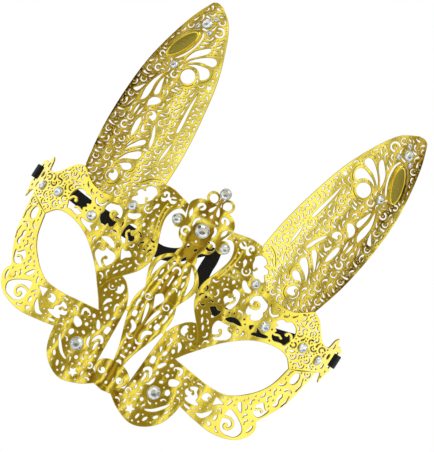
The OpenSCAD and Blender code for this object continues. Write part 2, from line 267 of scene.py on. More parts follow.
def run(points, steps=5):
    """A Catmull-Rom line through the points, without the last one."""
    p = [np.array(q, float) for q in points]
    out = []
    for i in range(len(p) - 1):
        around = p[max(i - 1, 0)], p[i], p[i + 1], p[min(i + 2, len(p) - 1)]
        out += [tuple(between(*around, k / steps)) for k in range(steps)]
    return out


def blob(points, steps=3):
    """A closed smooth line through the points."""
    p = [np.array(q, float) for q in points]
    n = len(p)
    out = []
    for i in range(n):
        around = p[i - 1], p[i], p[(i + 1) % n], p[(i + 2) % n]
        out += [tuple(between(*around, k / steps)) for k in range(steps)]
    return out


def flip(points):
    return [(-x, z) for x, z in reversed(points)]


def unit(v):
    return v / np.linalg.norm(v)


# ---------------------------------------------------------------- strap
STRAP_W = 6.4
STRAP_T = 1.0
LEFT_ROUTE = [
    (-67, 50, 0), (-62, 50, 0), (-57, 50, -0.5), (-51, 50, -1), (-45, 50, -1), (-39, 50, -1),
    (-33, 50, -1), (-27, 50, -1), (-21, 50, -1), (-16, 49.8, -1), (-12, 49.6, -0.6), (-8, 49.4, 1),
    (-5, 49.4, 3), (-2, 49.4, 6), (1, 49.4, 9), (5, 49.4, 13),
]
RIGHT_ROUTE = [
    (7, 50.5, 14), (7.6, 50.5, 11), (8, 50.5, 8), (8, 50.5, 5), (8.2, 50.5, 2), (9, 50.5, -1),
    (10.8, 50.4, -4), (13.6, 50.3, -6.6), (17, 50.2, -8.4), (22, 50, -9), (28, 50, -9), (35, 50, -8.4),
    (42, 50, -7), (49, 50, -5), (56, 50, -3), (62, 50, -1), (67, 50, 0),
]
RIBS = 9
STEPS_PER_RIB = 4


def ribbed_section():
    """Width and thickness offsets round a flat band with lengthwise ribs and softened edges."""
    top = []
    count = RIBS * STEPS_PER_RIB
    for k in range(count + 1):
        w = -1 + 2 * k / count
        rib = 0.5 - 0.5 * math.cos(2 * math.pi * k / STEPS_PER_RIB)
        t = STRAP_T / 2 * (0.84 + 0.16 * rib) * (1 - 0.35 * abs(w) ** 14)
        top.append((w * (STRAP_W / 2 - 0.04), t))
    return top + [(w, -t) for w, t in reversed(top)]


def smooth_path(points, steps):
    return np.array(run(points, steps) + [points[-1]], float)


def sweep_band(name, path, across):
    """A closed ribbed band along path; across gives the width direction at each ring."""
    section = ribbed_section()
    count = len(path)
    verts = []
    for i, p in enumerate(path):
        ahead = unit(path[min(i + 1, count - 1)] - path[max(i - 1, 0)])
        wide = unit(across[i] - ahead * np.dot(across[i], ahead))
        thick = np.cross(ahead, wide)
        for w, t in section:
            verts.append((p + wide * w + thick * t) * MM)
    sides = len(section)
    faces = []
    for i in range(count - 1):
        for k in range(sides):
            n = (k + 1) % sides
            faces.append((i * sides + k, i * sides + n, (i + 1) * sides + n, (i + 1) * sides + k))
    last = (count - 1) * sides
    top = sides // 2
    for k in range(top - 1):
        faces.append((k + 1, k, sides - 1 - k, sides - 2 - k))
        faces.append((last + k, last + k + 1, last + sides - 2 - k, last + sides - 1 - k))
    mesh = bpy.data.meshes.new(name)
    mesh.from_pydata([tuple(v) for v in verts], [], faces)
    mesh.update()
    for poly in mesh.polygons:
        poly.use_smooth = True
    return add_object(name, mesh, [ELASTIC])


def make_band(name, route, node):
    """One length of elastic, swept along its route."""
    path = smooth_path(route, 6)
    heading = np.gradient(path, axis=0)
    across = np.stack([-heading[:, 2], 0 * heading[:, 0], heading[:, 0]], 1)
    obj = sweep_band(name, path, across)
    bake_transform(obj)
    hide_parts(node)


make_band("elastic_left", LEFT_ROUTE, "strap_left")
make_band("elastic_right", RIGHT_ROUTE, "strap_right")

# ---------------------------------------------------------------- rolled surface, in millimetres
SHEET = 0.6
FRONT_R, SIDE_R, TEMPLE_R = 130.0, 75.0, 30.0
SLOPE_1, SLOPE_2, SLOPE_3 = (math.radians(a) for a in (16, 40, 66))
X_1 = FRONT_R * math.sin(SLOPE_1)
Y_1 = FRONT_R * (1 - math.cos(SLOPE_1))
X_2 = X_1 + SIDE_R * (math.sin(SLOPE_2) - math.sin(SLOPE_1))
Y_2 = Y_1 + SIDE_R * (math.cos(SLOPE_1) - math.cos(SLOPE_2))
X_3 = X_2 + TEMPLE_R * (math.sin(SLOPE_3) - math.sin(SLOPE_2))
Y_3 = Y_2 + TEMPLE_R * (math.cos(SLOPE_2) - math.cos(SLOPE_3))
EAR_LEAN = math.radians(7)
EAR_SPRING = math.radians(3.5)
EAR_FOOT = 5.5
EAR_ROOT = (43, 20)


def section(x):
    """Slope and depth of the rolled face at a distance x from the middle."""
    slope = np.where(
        x <= X_1,
        np.arcsin(np.clip(x / FRONT_R, -1, 1)),
        np.where(
            x <= X_2,
            np.arcsin(np.clip((x - X_1) / SIDE_R + math.sin(SLOPE_1), -1, 1)),
            np.where(x <= X_3, np.arcsin(np.clip((x - X_2) / TEMPLE_R + math.sin(SLOPE_2), -1, 1)), SLOPE_3),
        ),
    )
    depth = np.where(
        x <= X_1,
        FRONT_R * (1 - np.cos(slope)),
        np.where(
            x <= X_2,
            Y_1 + SIDE_R * (math.cos(SLOPE_1) - np.cos(slope)),
            np.where(
                x <= X_3,
                Y_2 + TEMPLE_R * (math.cos(SLOPE_2) - np.cos(slope)),
                Y_3 + (x - X_3) * math.tan(SLOPE_3),
            ),
        ),
    )
    return slope, depth


def face_surface(p):
    """Front face of the rolled mask: places and outward normals."""
    slope, depth = section(p[:, 0])
    normal = np.stack([np.sin(slope), -np.cos(slope), 0 * slope], 1)
    return np.stack([p[:, 0], depth, p[:, 1]], 1), normal


def sprung(p, side):
    """Both ears lean the same way in the picture's plane, so each side turns by its own sign."""
    p = np.asarray(p, float)
    a = side * EAR_SPRING
    dx, dz = p[..., 0] - EAR_ROOT[0], p[..., 1] - EAR_ROOT[1]
    return np.stack(
        [EAR_ROOT[0] + dx * math.cos(a) + dz * math.sin(a), EAR_ROOT[1] + dz * math.cos(a) - dx * math.sin(a)],
        -1,
    )


def ear_surface(p):
    """Front face of a leaning ear, lapped behind the brow; p is already sprung."""
    slope, depth = section(p[:, 0])
    low = EAR_FOOT + (p[:, 1] - EAR_FOOT + depth * math.sin(EAR_LEAN)) / math.cos(EAR_LEAN)
    normal = np.stack([np.sin(slope), -np.cos(slope), 0 * slope], 1)
    place = np.stack([p[:, 0], depth, low], 1) - normal * SHEET
    c, s = math.cos(EAR_LEAN), math.sin(EAR_LEAN)

    def lean(v, foot):
        return np.stack([v[:, 0], v[:, 1] * c + (v[:, 2] - foot) * s, foot + (v[:, 2] - foot) * c - v[:, 1] * s], 1)

    return lean(place, EAR_FOOT), lean(normal, 0)


def ridge_surface(radius, proud):
    """Front face of the narrow plates on the middle line, bent round an upright cylinder."""
    def surface(p):
        slope = np.arcsin(np.clip(p[:, 0] / radius, -1, 1))
        normal = np.stack([np.sin(slope), -np.cos(slope), 0 * slope], 1)
        return np.stack([p[:, 0], radius * (1 - np.cos(slope)) - proud, p[:, 1]], 1), normal

    return surface


crown_surface = ridge_surface(60, 1)
nose_surface = ridge_surface(30, 1.5)


def tab_surface(p):
    """Front face of the flat temple plate; p is distance along the temple, and height."""
    c, s = math.cos(SLOPE_3), math.sin(SLOPE_3)
    normal = np.tile([s, -c, 0.0], (len(p), 1))
    place = np.stack([X_3 + p[:, 0] * c, Y_3 + p[:, 0] * s, p[:, 1]], 1)
    return place - normal * SHEET, normal


# ---------------------------------------------------------------- lace motifs, in millimetres
def rad(a):
    return math.radians(a)


def placed(points, x, z, turn):
    """Points turned by so many degrees and moved to (x, z)."""
    c, s = math.cos(rad(turn)), math.sin(rad(turn))
    return [(x + u * c - v * s, z + u * s + v * c) for u, v in points]


def disc(x, z, r, n=12):
    """A round opening; the lace shapes here are closed lists of (x, z)."""
    return [(x + r * math.cos(2 * math.pi * k / n), z + r * math.sin(2 * math.pi * k / n)) for k in range(n)]


def oval(x, z, a, b, turn=0, n=18):
    angles = [2 * math.pi * k / n for k in range(n)]
    return placed([(a / 2 * math.cos(t), b / 2 * math.sin(t)) for t in angles], x, z, turn)


def star(x, z, r, points=4, inner=0.38, turn=45):
    out = []
    for k in range(points * 2):
        t = rad(turn) + math.pi * k / points
        f = r if k % 2 == 0 else r * inner
        out.append((x + f * math.cos(t), z + f * math.sin(t)))
    return out


def stroke(spine, widths, cap=3):
    """The outline of a line drawn with changing width and round ends, anticlockwise."""
    p = np.asarray(spine, float)
    w = np.asarray(widths, float) / 2
    heading = np.gradient(p, axis=0)
    heading /= np.linalg.norm(heading, axis=1)[:, None]
    side = np.stack([heading[:, 1], -heading[:, 0]], 1)
    right = p + side * w[:, None]
    left = p - side * w[:, None]
    out = [tuple(q) for q in right]
    for k in range(1, cap):
        t = math.pi * k / cap
        out.append(tuple(p[-1] + w[-1] * (side[-1] * math.cos(t) + heading[-1] * math.sin(t))))
    out += [tuple(q) for q in left[::-1]]
    for k in range(1, cap):
        t = math.pi * k / cap
        out.append(tuple(p[0] + w[0] * (-side[0] * math.cos(t) - heading[0] * math.sin(t))))
    return out


def arc(x, z, r, start, sweep, n=10, r_end=None):
    r_end = r if r_end is None else r_end
    out = []
    for k in range(n + 1):
        t = rad(start + sweep * k / n)
        q = r + (r_end - r) * k / n
        out.append((x + q * math.cos(t), z + q * math.sin(t)))
    return out


def c_hole(x, z, r, width, gap_at=0, gap=110, n=10):
    return stroke(arc(x, z, r, gap_at + gap / 2, 360 - gap, n), [width] * (n + 1))


def leaf(x0, z0, x1, z1, width, bend=0.0, fat=1.0, n=9):
    """A pointed hole between two places; fat below 1 moves its widest part to the start."""
    a, b = np.array((x0, z0), float), np.array((x1, z1), float)
    along = b - a
    across = np.array((-along[1], along[0])) / np.linalg.norm(along)
    left, right = [], []
    for k in range(n + 1):
        t = k / n
        middle = a + along * t + across * bend * math.sin(math.pi * t)
        half = width / 2 * math.sin(math.pi * t**fat)
        if k in (0, n):
            right.append(tuple(middle))
        else:
            right.append(tuple(middle - across * half))
            left.append(tuple(middle + across * half))
    return right + left[::-1]


def drop(x0, z0, x1, z1, width, bend=0.0):
    return leaf(x0, z0, x1, z1, width, bend, 0.55)


def half_moon(x, z, a, b, n=9):
    pts = [(a / 2 * math.cos(math.pi * k / n), b * math.sin(math.pi * k / n) - b / 2) for k in range(n + 1)]
    pts += [(-a / 4, -b / 2 + 0.12 * b), (a / 4, -b / 2 + 0.12 * b)]
    return [(x + u, z + v) for u, v in pts]


def box_hole(x, z, a, b, turn=0):
    r = 0.3 * min(a, b)
    pts = []
    for sx, sz, start in ((1, 1, 0), (-1, 1, 90), (-1, -1, 180), (1, -1, 270)):
        for k in range(3):
            t = rad(start + 45 * k)
            pts.append((sx * (a / 2 - r) + r * math.cos(t), sz * (b / 2 - r) + r * math.sin(t)))
    return placed(pts, x, z, turn)


def oval_arc(x, z, a, b, turn, start, sweep, n=12):
    """Part of an ellipse with half-axes a and b."""
    angles = [rad(start + sweep * k / n) for k in range(n + 1)]
    return placed([(a * math.cos(t), b * math.sin(t)) for t in angles], x, z, turn)


def scroll(points, width, thin, ball, at=None):
    """A metal scroll along the points, which start in solid metal, ending in a ball."""
    spine = run(points, 4) + [points[-1]]
    n = len(spine) - 1
    x, z = at or points[-1]
    return [(1, stroke(spine, [width + (thin - width) * k / n for k in range(n + 1)])), (1, disc(x, z, ball / 2, 12))]


def holes(*polygons):
    return [(-1, p) for p in polygons]


# ---------------------------------------------------------------- filling with fine lace
def distance_to(points, polygon):
    """Distance from each point to a closed polygon's edge, and whether the point is inside."""
    a = np.asarray(polygon, float)
    b = np.roll(a, -1, 0)
    best = np.full(len(points), 1e9)
    inside = np.zeros(len(points), bool)
    for (x0, z0), (x1, z1) in zip(a, b):
        ex, ez = x1 - x0, z1 - z0
        size = ex * ex + ez * ez
        if size < 1e-12:
            continue
        px, pz = points[:, 0] - x0, points[:, 1] - z0
        t = np.clip((px * ex + pz * ez) / size, 0, 1)
        best = np.minimum(best, (px - t * ex) ** 2 + (pz - t * ez) ** 2)
        if z0 != z1:
            cross = ((z0 > points[:, 1]) != (z1 > points[:, 1])) & (
                points[:, 0] < ex * (points[:, 1] - z0) / ez + x0
            )
            inside ^= cross
    return np.sqrt(best), inside


class Field:
    """How far each place of a sheet is from its edge and from its openings."""

    STEP = 0.2

    def __init__(self, outline):
        o = np.asarray(outline, float)
        self.low = o.min(0) - 0.5
        self.count = np.ceil((o.max(0) + 0.5 - self.low) / self.STEP).astype(int) + 1
        gx, gz = np.meshgrid(*(np.arange(n) for n in self.count), indexing="ij")
        self.grid = np.stack([gx, gz], -1) * self.STEP + self.low
        flat = self.grid.reshape(-1, 2)
        d, inside = distance_to(flat, outline)
        self.value = np.where(inside, d, -d).reshape(self.count)

    def window(self, low, high):
        i0 = np.clip(((low - self.low) / self.STEP).astype(int), 0, self.count - 1)
        i1 = np.clip(((high - self.low) / self.STEP).astype(int) + 2, 1, self.count)
        return slice(i0[0], i1[0]), slice(i0[1], i1[1])

    def cut(self, polygon, reach=4.0):
        p = np.asarray(polygon, float)
        win = self.window(p.min(0) - reach, p.max(0) + reach)
        cells = self.grid[win]
        d, inside = distance_to(cells.reshape(-1, 2), polygon)
        d = np.where(inside, -d, d).reshape(cells.shape[:2])
        self.value[win] = np.minimum(self.value[win], d)

    def at(self, p):
        i = np.clip(np.round((p - self.low) / self.STEP).astype(int), 0, self.count - 1)
        return self.value[i[:, 0], i[:, 1]]

    def cut_discs(self, p, r):
        win = self.window(p.min(0) - 3.2, p.max(0) + 3.2)
        cells = self.grid[win]
        d = np.min(np.linalg.norm(cells[:, :, None, :] - p, axis=-1) - r, axis=-1)
        self.value[win] = np.minimum(self.value[win], d)


def motif_comma(r):
    n = 6
    a = r.uniform(95, 150)
    radius = r.uniform(1.0, 1.5)
    spine = arc(0, 0, radius, 0, a, n)
    widths = [1.05 - 0.65 * k / n for k in range(n + 1)]
    return np.array(spine), np.array(widths)


def motif_c(r):
    n = 9
    spine = arc(0, 0, 1.05, 0, r.uniform(200, 235), n)
    return np.array(spine), np.full(n + 1, 0.72)


def motif_s(r):
    first = arc(-1.0, 0, 1.0, 180, -170, 6)
    second = arc(1.0, 0, 1.0, 190, 160, 6)
    spine = np.array(first[:-1] + second)
    n = len(spine) - 1
    return spine, np.array([0.5 + 0.3 * math.sin(math.pi * k / n) for k in range(n + 1)])


def motif_drop(r):
    n = 4
    length = r.uniform(1.8, 2.8)
    return np.array([(length * k / n, 0.25 * math.sin(math.pi * k / n)) for k in range(n + 1)]), np.array(
        [1.05 - 0.2 * k for k in range(n + 1)]
    )


def motif_dot(r):
    return np.array([(0, 0), (0.12, 0.0)]), np.full(2, r.uniform(0.85, 1.1))


MOTIFS = {"comma": motif_comma, "c": motif_c, "s": motif_s, "drop": motif_drop, "dot": motif_dot}


def fill(field, seed, classes, strip, where, slim=0.8, slant=None):
    """Packs small holes into the free metal that where() allows, at least strip apart.

    classes is a list of (motifs, scale, tries), slim narrows the holes, and slant is their mean direction.
    """
    r = random.Random(seed)
    out = []
    for kinds, scale, tries in classes:
        need = 0.36 * scale + strip
        free = None
        for attempt in range(tries):
            if attempt % 120 == 0:
                free = np.argwhere(field.value > need)
                if len(free):
                    free = free[where(free * field.STEP + field.low)]
                if not len(free):
                    break
            start = free[r.randrange(len(free))] * field.STEP + field.low
            spine, widths = MOTIFS[r.choice(kinds)](r)
            spine, widths = spine * scale, widths * scale * slim
            if r.random() < 0.5 and slant is None:
                spine = spine * (1, -1)
            turn = r.uniform(0, 2 * math.pi) if slant is None else r.gauss(slant, 0.45)
            c, s = math.cos(turn), math.sin(turn)
            spine = (spine - spine[r.randrange(len(spine))]) @ np.array([[c, s], [-s, c]]) + start
            if np.any(field.at(spine) < widths / 2 + strip):
                continue
            dense = np.concatenate([spine, (spine[1:] + spine[:-1]) / 2])
            rad_dense = np.concatenate([widths, (widths[1:] + widths[:-1]) / 2]) / 2
            if np.any(field.at(dense) < rad_dense + strip):
                continue
            field.cut_discs(dense, rad_dense)
            cap = 3 if len(spine) > 2 else 4
            out.append((-1, stroke(spine, widths, cap)))
    return out


# ---------------------------------------------------------------- sheets as solid meshes
CHAMFER = 0.2
GRID = 3.0
GRID_MARGIN = 0.45


def turning(polygon):
    """Twice the signed area: above 0 for a polygon that runs anticlockwise."""
    p = np.asarray(polygon, float)
    q = np.roll(p, -1, 0)
    return float(np.sum(p[:, 0] * q[:, 1] - q[:, 0] * p[:, 1]))


def triangulate(outline, shapes, field):
    """Cuts the outline by the shapes in order: -1 opens, 1 is metal inside it, 2 is metal anywhere."""
    verts, faces, signs = [], [], []
    for sign, polygon in [(1, outline)] + list(shapes):
        base = len(verts)
        if turning(polygon) < 0:
            polygon = polygon[::-1]
        verts.extend(polygon)
        faces.append(list(range(base, base + len(polygon))))
        signs.append(sign)
    low, high = np.min(outline, 0), np.max(outline, 0)
    grid = np.stack(
        np.meshgrid(np.arange(low[0] + 1, high[0], GRID), np.arange(low[1] + 1, high[1], GRID), indexing="ij"), -1
    ).reshape(-1, 2)
    verts.extend(tuple(q) for q in grid[field.at(grid) > GRID_MARGIN])
    out = delaunay_2d_cdt([Vector(v) for v in verts], [], faces, 1, 1e-4, True)
    kept = []
    for face, origin in zip(out[2], out[5]):
        if not origin:
            continue
        top = max(origin)
        if signs[top] == 2 or (signs[top] == 1 and 0 in origin):
            kept.append(face)
    points = np.array([tuple(v) for v in out[0]])
    return points, largest_piece(points, np.array(kept))


def largest_piece(points, tris):
    """Drops islands that nothing holds."""
    parent = list(range(len(points)))

    def root(i):
        while parent[i] != i:
            parent[i] = parent[parent[i]]
            i = parent[i]
        return i

    for a, b, c in tris:
        ra, rb = root(a), root(b)
        parent[ra] = rb
        rc = root(c)
        parent[rc] = root(b)
    roots = np.array([root(t[0]) for t in tris])
    p = points[tris]
    area = 0.5 * np.abs(
        (p[:, 1, 0] - p[:, 0, 0]) * (p[:, 2, 1] - p[:, 0, 1])
        - (p[:, 2, 0] - p[:, 0, 0]) * (p[:, 1, 1] - p[:, 0, 1])
    )
    totals = {}
    for r0, a0 in zip(roots, area):
        totals[r0] = totals.get(r0, 0) + a0
    best = max(totals, key=totals.get)
    return tris[roots == best]


def sheet(name, outline, shapes, surface, node, side, field):
    """A cut sheet of metal on a surface: front, rounded front edge, walls and back."""
    points, tris = triangulate(outline, shapes, field)
    used, tris = np.unique(tris, return_inverse=True)
    tris = tris.reshape(-1, 3)
    points = points[used]
    p = points[tris]
    turned = (p[:, 1, 0] - p[:, 0, 0]) * (p[:, 2, 1] - p[:, 0, 1]) < (p[:, 2, 0] - p[:, 0, 0]) * (
        p[:, 1, 1] - p[:, 0, 1]
    )
    tris[turned] = tris[turned][:, ::-1]
    place, normal = surface(points)
    edges = np.concatenate([tris[:, [0, 1]], tris[:, [1, 2]], tris[:, [2, 0]]])
    keys = {(a, b): True for a, b in edges}
    rim = np.array([e for e in keys if (e[1], e[0]) not in keys])
    count = len(points)
    out = np.zeros((count, 3))
    along = place[rim[:, 1]] - place[rim[:, 0]]
    along /= np.maximum(np.linalg.norm(along, axis=1), 1e-9)[:, None]
    away = np.cross(along, normal[rim[:, 0]])
    np.add.at(out, rim[:, 0], away)
    np.add.at(out, rim[:, 1], away)
    size = np.linalg.norm(out, axis=1)
    on_rim = size > 1e-6
    out[on_rim] /= size[on_rim][:, None]
    ids = np.flatnonzero(on_rim)
    order = np.full(count, -1)
    order[ids] = np.arange(len(ids))
    front = place - out * (CHAMFER * 0.5)
    wall_top = (place + out * (CHAMFER * 0.5) - normal * CHAMFER)[ids]
    back = place - normal * SHEET + out * (CHAMFER * 0.5)
    verts = np.concatenate([front, wall_top, back])
    t0, b0 = count, count + len(ids)
    ra, rb = rim[:, 0], rim[:, 1]
    chamfer = np.stack([ra, t0 + order[ra], t0 + order[rb], rb], 1)
    wall = np.stack([t0 + order[ra], b0 + ra, b0 + rb, t0 + order[rb]], 1)
    faces = [tuple(t) for t in tris] + [tuple(q) for q in chamfer] + [tuple(q) for q in wall]
    faces += [tuple(t) for t in (tris + b0)[:, ::-1]]
    loops = np.concatenate(
        [
            normal[tris].reshape(-1, 3),
            np.stack([normal[ra], out[ra], out[rb], normal[rb]], 1).reshape(-1, 3),
            np.stack([out[ra], out[ra], out[rb], out[rb]], 1).reshape(-1, 3),
            -normal[tris[:, ::-1]].reshape(-1, 3),
        ]
    )
    # Painted shade for the gold material: 0 on the front, 1 at the top of the cut walls, 0.35 on the back.
    painted_shade = np.concatenate([np.zeros(count), np.ones(len(ids)), np.full(count, 0.35)])
    if side < 0:
        verts, loops = verts * (-1, 1, 1), loops * (-1, 1, 1)
        turned_loops, start = [], 0
        for f in faces:
            turned_loops.append(loops[start : start + len(f)][::-1])
            start += len(f)
        faces, loops = [f[::-1] for f in faces], np.concatenate(turned_loops)
    mesh = bpy.data.meshes.new(name)
    mesh.from_pydata([tuple(v) for v in verts * MM], [], faces)
    mesh.polygons.foreach_set("use_smooth", [True] * len(faces))
    values = mesh.attributes.new("painted_shade", "FLOAT", "POINT")
    values.data.foreach_set("value", painted_shade)
    mesh.update()
    mesh.normals_split_custom_set([tuple(v) for v in loops])
    obj = add_object(name, mesh, [GOLD])
    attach(obj, "mask")
    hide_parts(node)


# ---------------------------------------------------------------- brow
TEMPLE_END = 75
EAR_LOW = 14
BROW = (
    run([(11.6, 24.2), (15, 25), (20.5, 26.2), (25.6, 26)])
    + run([(25.6, 26), (30.5, 19), (37, 12), (45, 8.5), (53, 9), (60.5, EAR_LOW)])
    + run([(60.5, EAR_LOW), (64.5, 11.8), (68.4, 6.8), (71.5, 4), (TEMPLE_END, 3.5)])
    + [(TEMPLE_END, 3.5), (TEMPLE_END, -8.5)]
    + run([(64.4, -13.5), (60, -9), (52.4, -8.6), (43, -12), (33.2, -19.9), (25.5, -29)])
    + run([(25.5, -29), (23, -22.5), (19.5, -18.2)])
    + run([(19.5, -18.2), (15, -13), (12.8, -8.4), (12.3, -4), (12.9, 0), (15, 5.5), (16.7, 11),
           (16.9, 15), (15.6, 18.8), (13.4, 20.8), (10.8, 20.2)])
    + [(10.8, 20.2)]
)[::-1]
TOOTHED = blob([
    (25.7, 20.6), (27.6, 22.5), (30.3, 22.2), (32, 20.4), (31.3, 19), (33.8, 18.6), (34.5, 16.7), (33.4, 15.7),
    (35, 13.7), (34.1, 12.2), (32.1, 12.8), (30.6, 12.2), (28.7, 13.4), (27.6, 15.4), (26.4, 16.9), (26.1, 18.9),
])
BROW_SHAPES = (
    holes(
        blob([(16.7, 22.1), (17.5, 23.5), (19.1, 23.3), (20.2, 22.2), (21.2, 23.8), (23.1, 23.8), (23.9, 22.3),
              (23, 21.6), (23.8, 20.5), (22.7, 19), (21.2, 19.4), (20.4, 20.8), (18.6, 20.1), (16.9, 20.8)]),
        TOOTHED,
        blob([(26.7, 8.8), (28.1, 9.1), (30.3, 7.6), (32.4, 6.7), (32.1, 5.3), (30.3, 4.9), (28.3, 5.6),
              (27.1, 7.1)]),
        blob([(25.7, 3.7), (28.3, 3.5), (29.7, 1.5), (30, -1.5), (29.3, -4.2), (27.6, -6), (25.9, -5.6), (25.2, -4.2),
              (23.9, -3.1), (23.6, -1.6), (24.6, -0.6), (25.7, -1.1), (26.9, 0.5), (25.5, 1.9)]),
        blob([(34, 4.2), (35, 6.2), (37.3, 7.3), (40, 7.2), (41.8, 5.5), (42.5, 3.3), (41.9, 1.5), (42.6, -0.2),
              (42.1, -2.2), (40.3, -3.8), (38.3, -4), (37.6, -2.3), (36.6, -3.2), (34.8, -2.2), (34.5, 0.5),
              (34, 2.4)]),
        blob([(49.4, 2.7), (51, 3.8), (52.6, 3.5), (54.1, 4.5), (56.1, 4.4), (58.1, 2.8), (59, 0), (58.7, -2),
              (57.8, -4.6), (57, -6.2), (55.4, -5.8), (52.1, -6.6), (50.4, -5.5), (50, -3.8), (50.9, -2.2),
              (49.4, -1), (50.3, 0.1), (48.7, 0.9)]),
        blob([(20.6, -8.7), (22.6, -7.3), (24.2, -8.2), (26.1, -7.9), (25.5, -10.2), (23.7, -12.7), (22.6, -10.9),
              (21, -9.7)]),
        blob([(29, -9.8), (30.3, -7.9), (32.6, -6.9), (35, -7.2), (36.9, -8.5), (36, -9.2), (33.3, -9.5),
              (30.9, -10.2)]),
        blob([(39.4, -6.6), (41.3, -5.4), (41, -8.1)]),
        blob([(42.9, -5.6), (44.4, -5.9), (46, -6.5), (49, -6.2), (48.8, -7.5), (45.4, -9.0), (42.2, -9.6),
              (42.5, -8.2), (43.7, -7.4)]),
        blob([(59.9, -6.4), (61.4, -5.4), (62.6, -5.5), (61.6, -6.8)]),
        blob([(26.1, -13.4), (27.3, -11.8), (30.3, -11.6), (33, -11.4), (34.8, -13.2), (35.6, -15.4), (34.6, -17.4),
              (31.6, -19.6), (29.8, -20.4), (27.9, -18.6), (26.3, -16.2)]),
        blob([(42.9, 7.2), (44, 4.2), (45.9, 3.1), (48.2, 4.9), (48.1, 3.4), (46, 1.9), (43.9, 2.8), (42.8, 4.9)]),
        # ring boss, ovals and dots
        disc(25.6, 12.9, 0.5), c_hole(25.6, 12.9, 1.8, 0.8, 120, 120, 12),
        blob([(22.4, 17.2), (23.8, 16.6), (24.1, 14.6), (23.6, 13.6), (22.9, 14.8), (22.2, 15.6)]),
        oval(21.2, 9.8, 1.3, 2.0, 10), oval(23.6, 5.9, 1.6, 1.9), oval(21.0, 5.7, 0.9, 1.4, 20),
        oval(19.9, 2.5, 0.9, 1.6, 15), oval(37.6, 11, 1.3, 3.6, 50), disc(41.2, 9.6, 0.65),
        oval(46.4, 6.4, 2.2, 1.0, 10), disc(16.9, -6.2, 0.75), disc(17.5, -3.4, 0.65),
        oval(18.9, -12.7, 1.0, 2.3, 20), oval(20.8, -15.6, 1.1, 2.7, 24), oval(22.9, -18.4, 1.1, 2.8, 26),
    )
    + scroll([(34.6, -2.9), (33.2, -0.6), (33.6, 1.6), (35.9, 0.8), (38.0, 1.2), (38.8, 2.6), (37.7, 3.9),
              (36.1, 3.5)], 1.3, 0.9, 2.0, (36.9, 2.5))
    + scroll([(26.0, 16.8), (27.0, 14.9), (28.4, 15.1), (28.9, 16.2)], 0.9, 0.7, 1.1)
    + scroll([(16.2, 23.4), (18.0, 22.3), (18.9, 22.0)], 0.9, 0.6, 0.9)
    + scroll([(24.8, 21.0), (22.9, 20.9), (21.9, 21.5), (22.0, 22.4)], 0.9, 0.6, 0.9)
    + scroll([(59.4, -3.4), (58.2, -1.6), (57.3, -0.4), (56.0, -0.3), (55.5, -1.3)], 1.1, 0.8, 1.5)
    + scroll([(49.2, -3.0), (50.9, -3.9), (52.9, -3.3), (54.2, -3.9)], 1.1, 0.7, 1.0)
    + scroll([(36.9, -12.4), (35.2, -13.3), (33.4, -13.2), (32.7, -12.4), (33.4, -11.6)], 1.1, 0.8, 1.4)
    + scroll([(26.2, -19.2), (28.6, -18.9), (30.6, -17.6), (30.9, -16.2), (30.1, -15.4)], 1.0, 0.8, 1.6)
    + scroll([(25.4, -6.6), (26.4, -3.6), (27.7, -2.2), (28.3, -0.8), (27.7, 0.1)], 1.0, 0.7, 1.2)
)

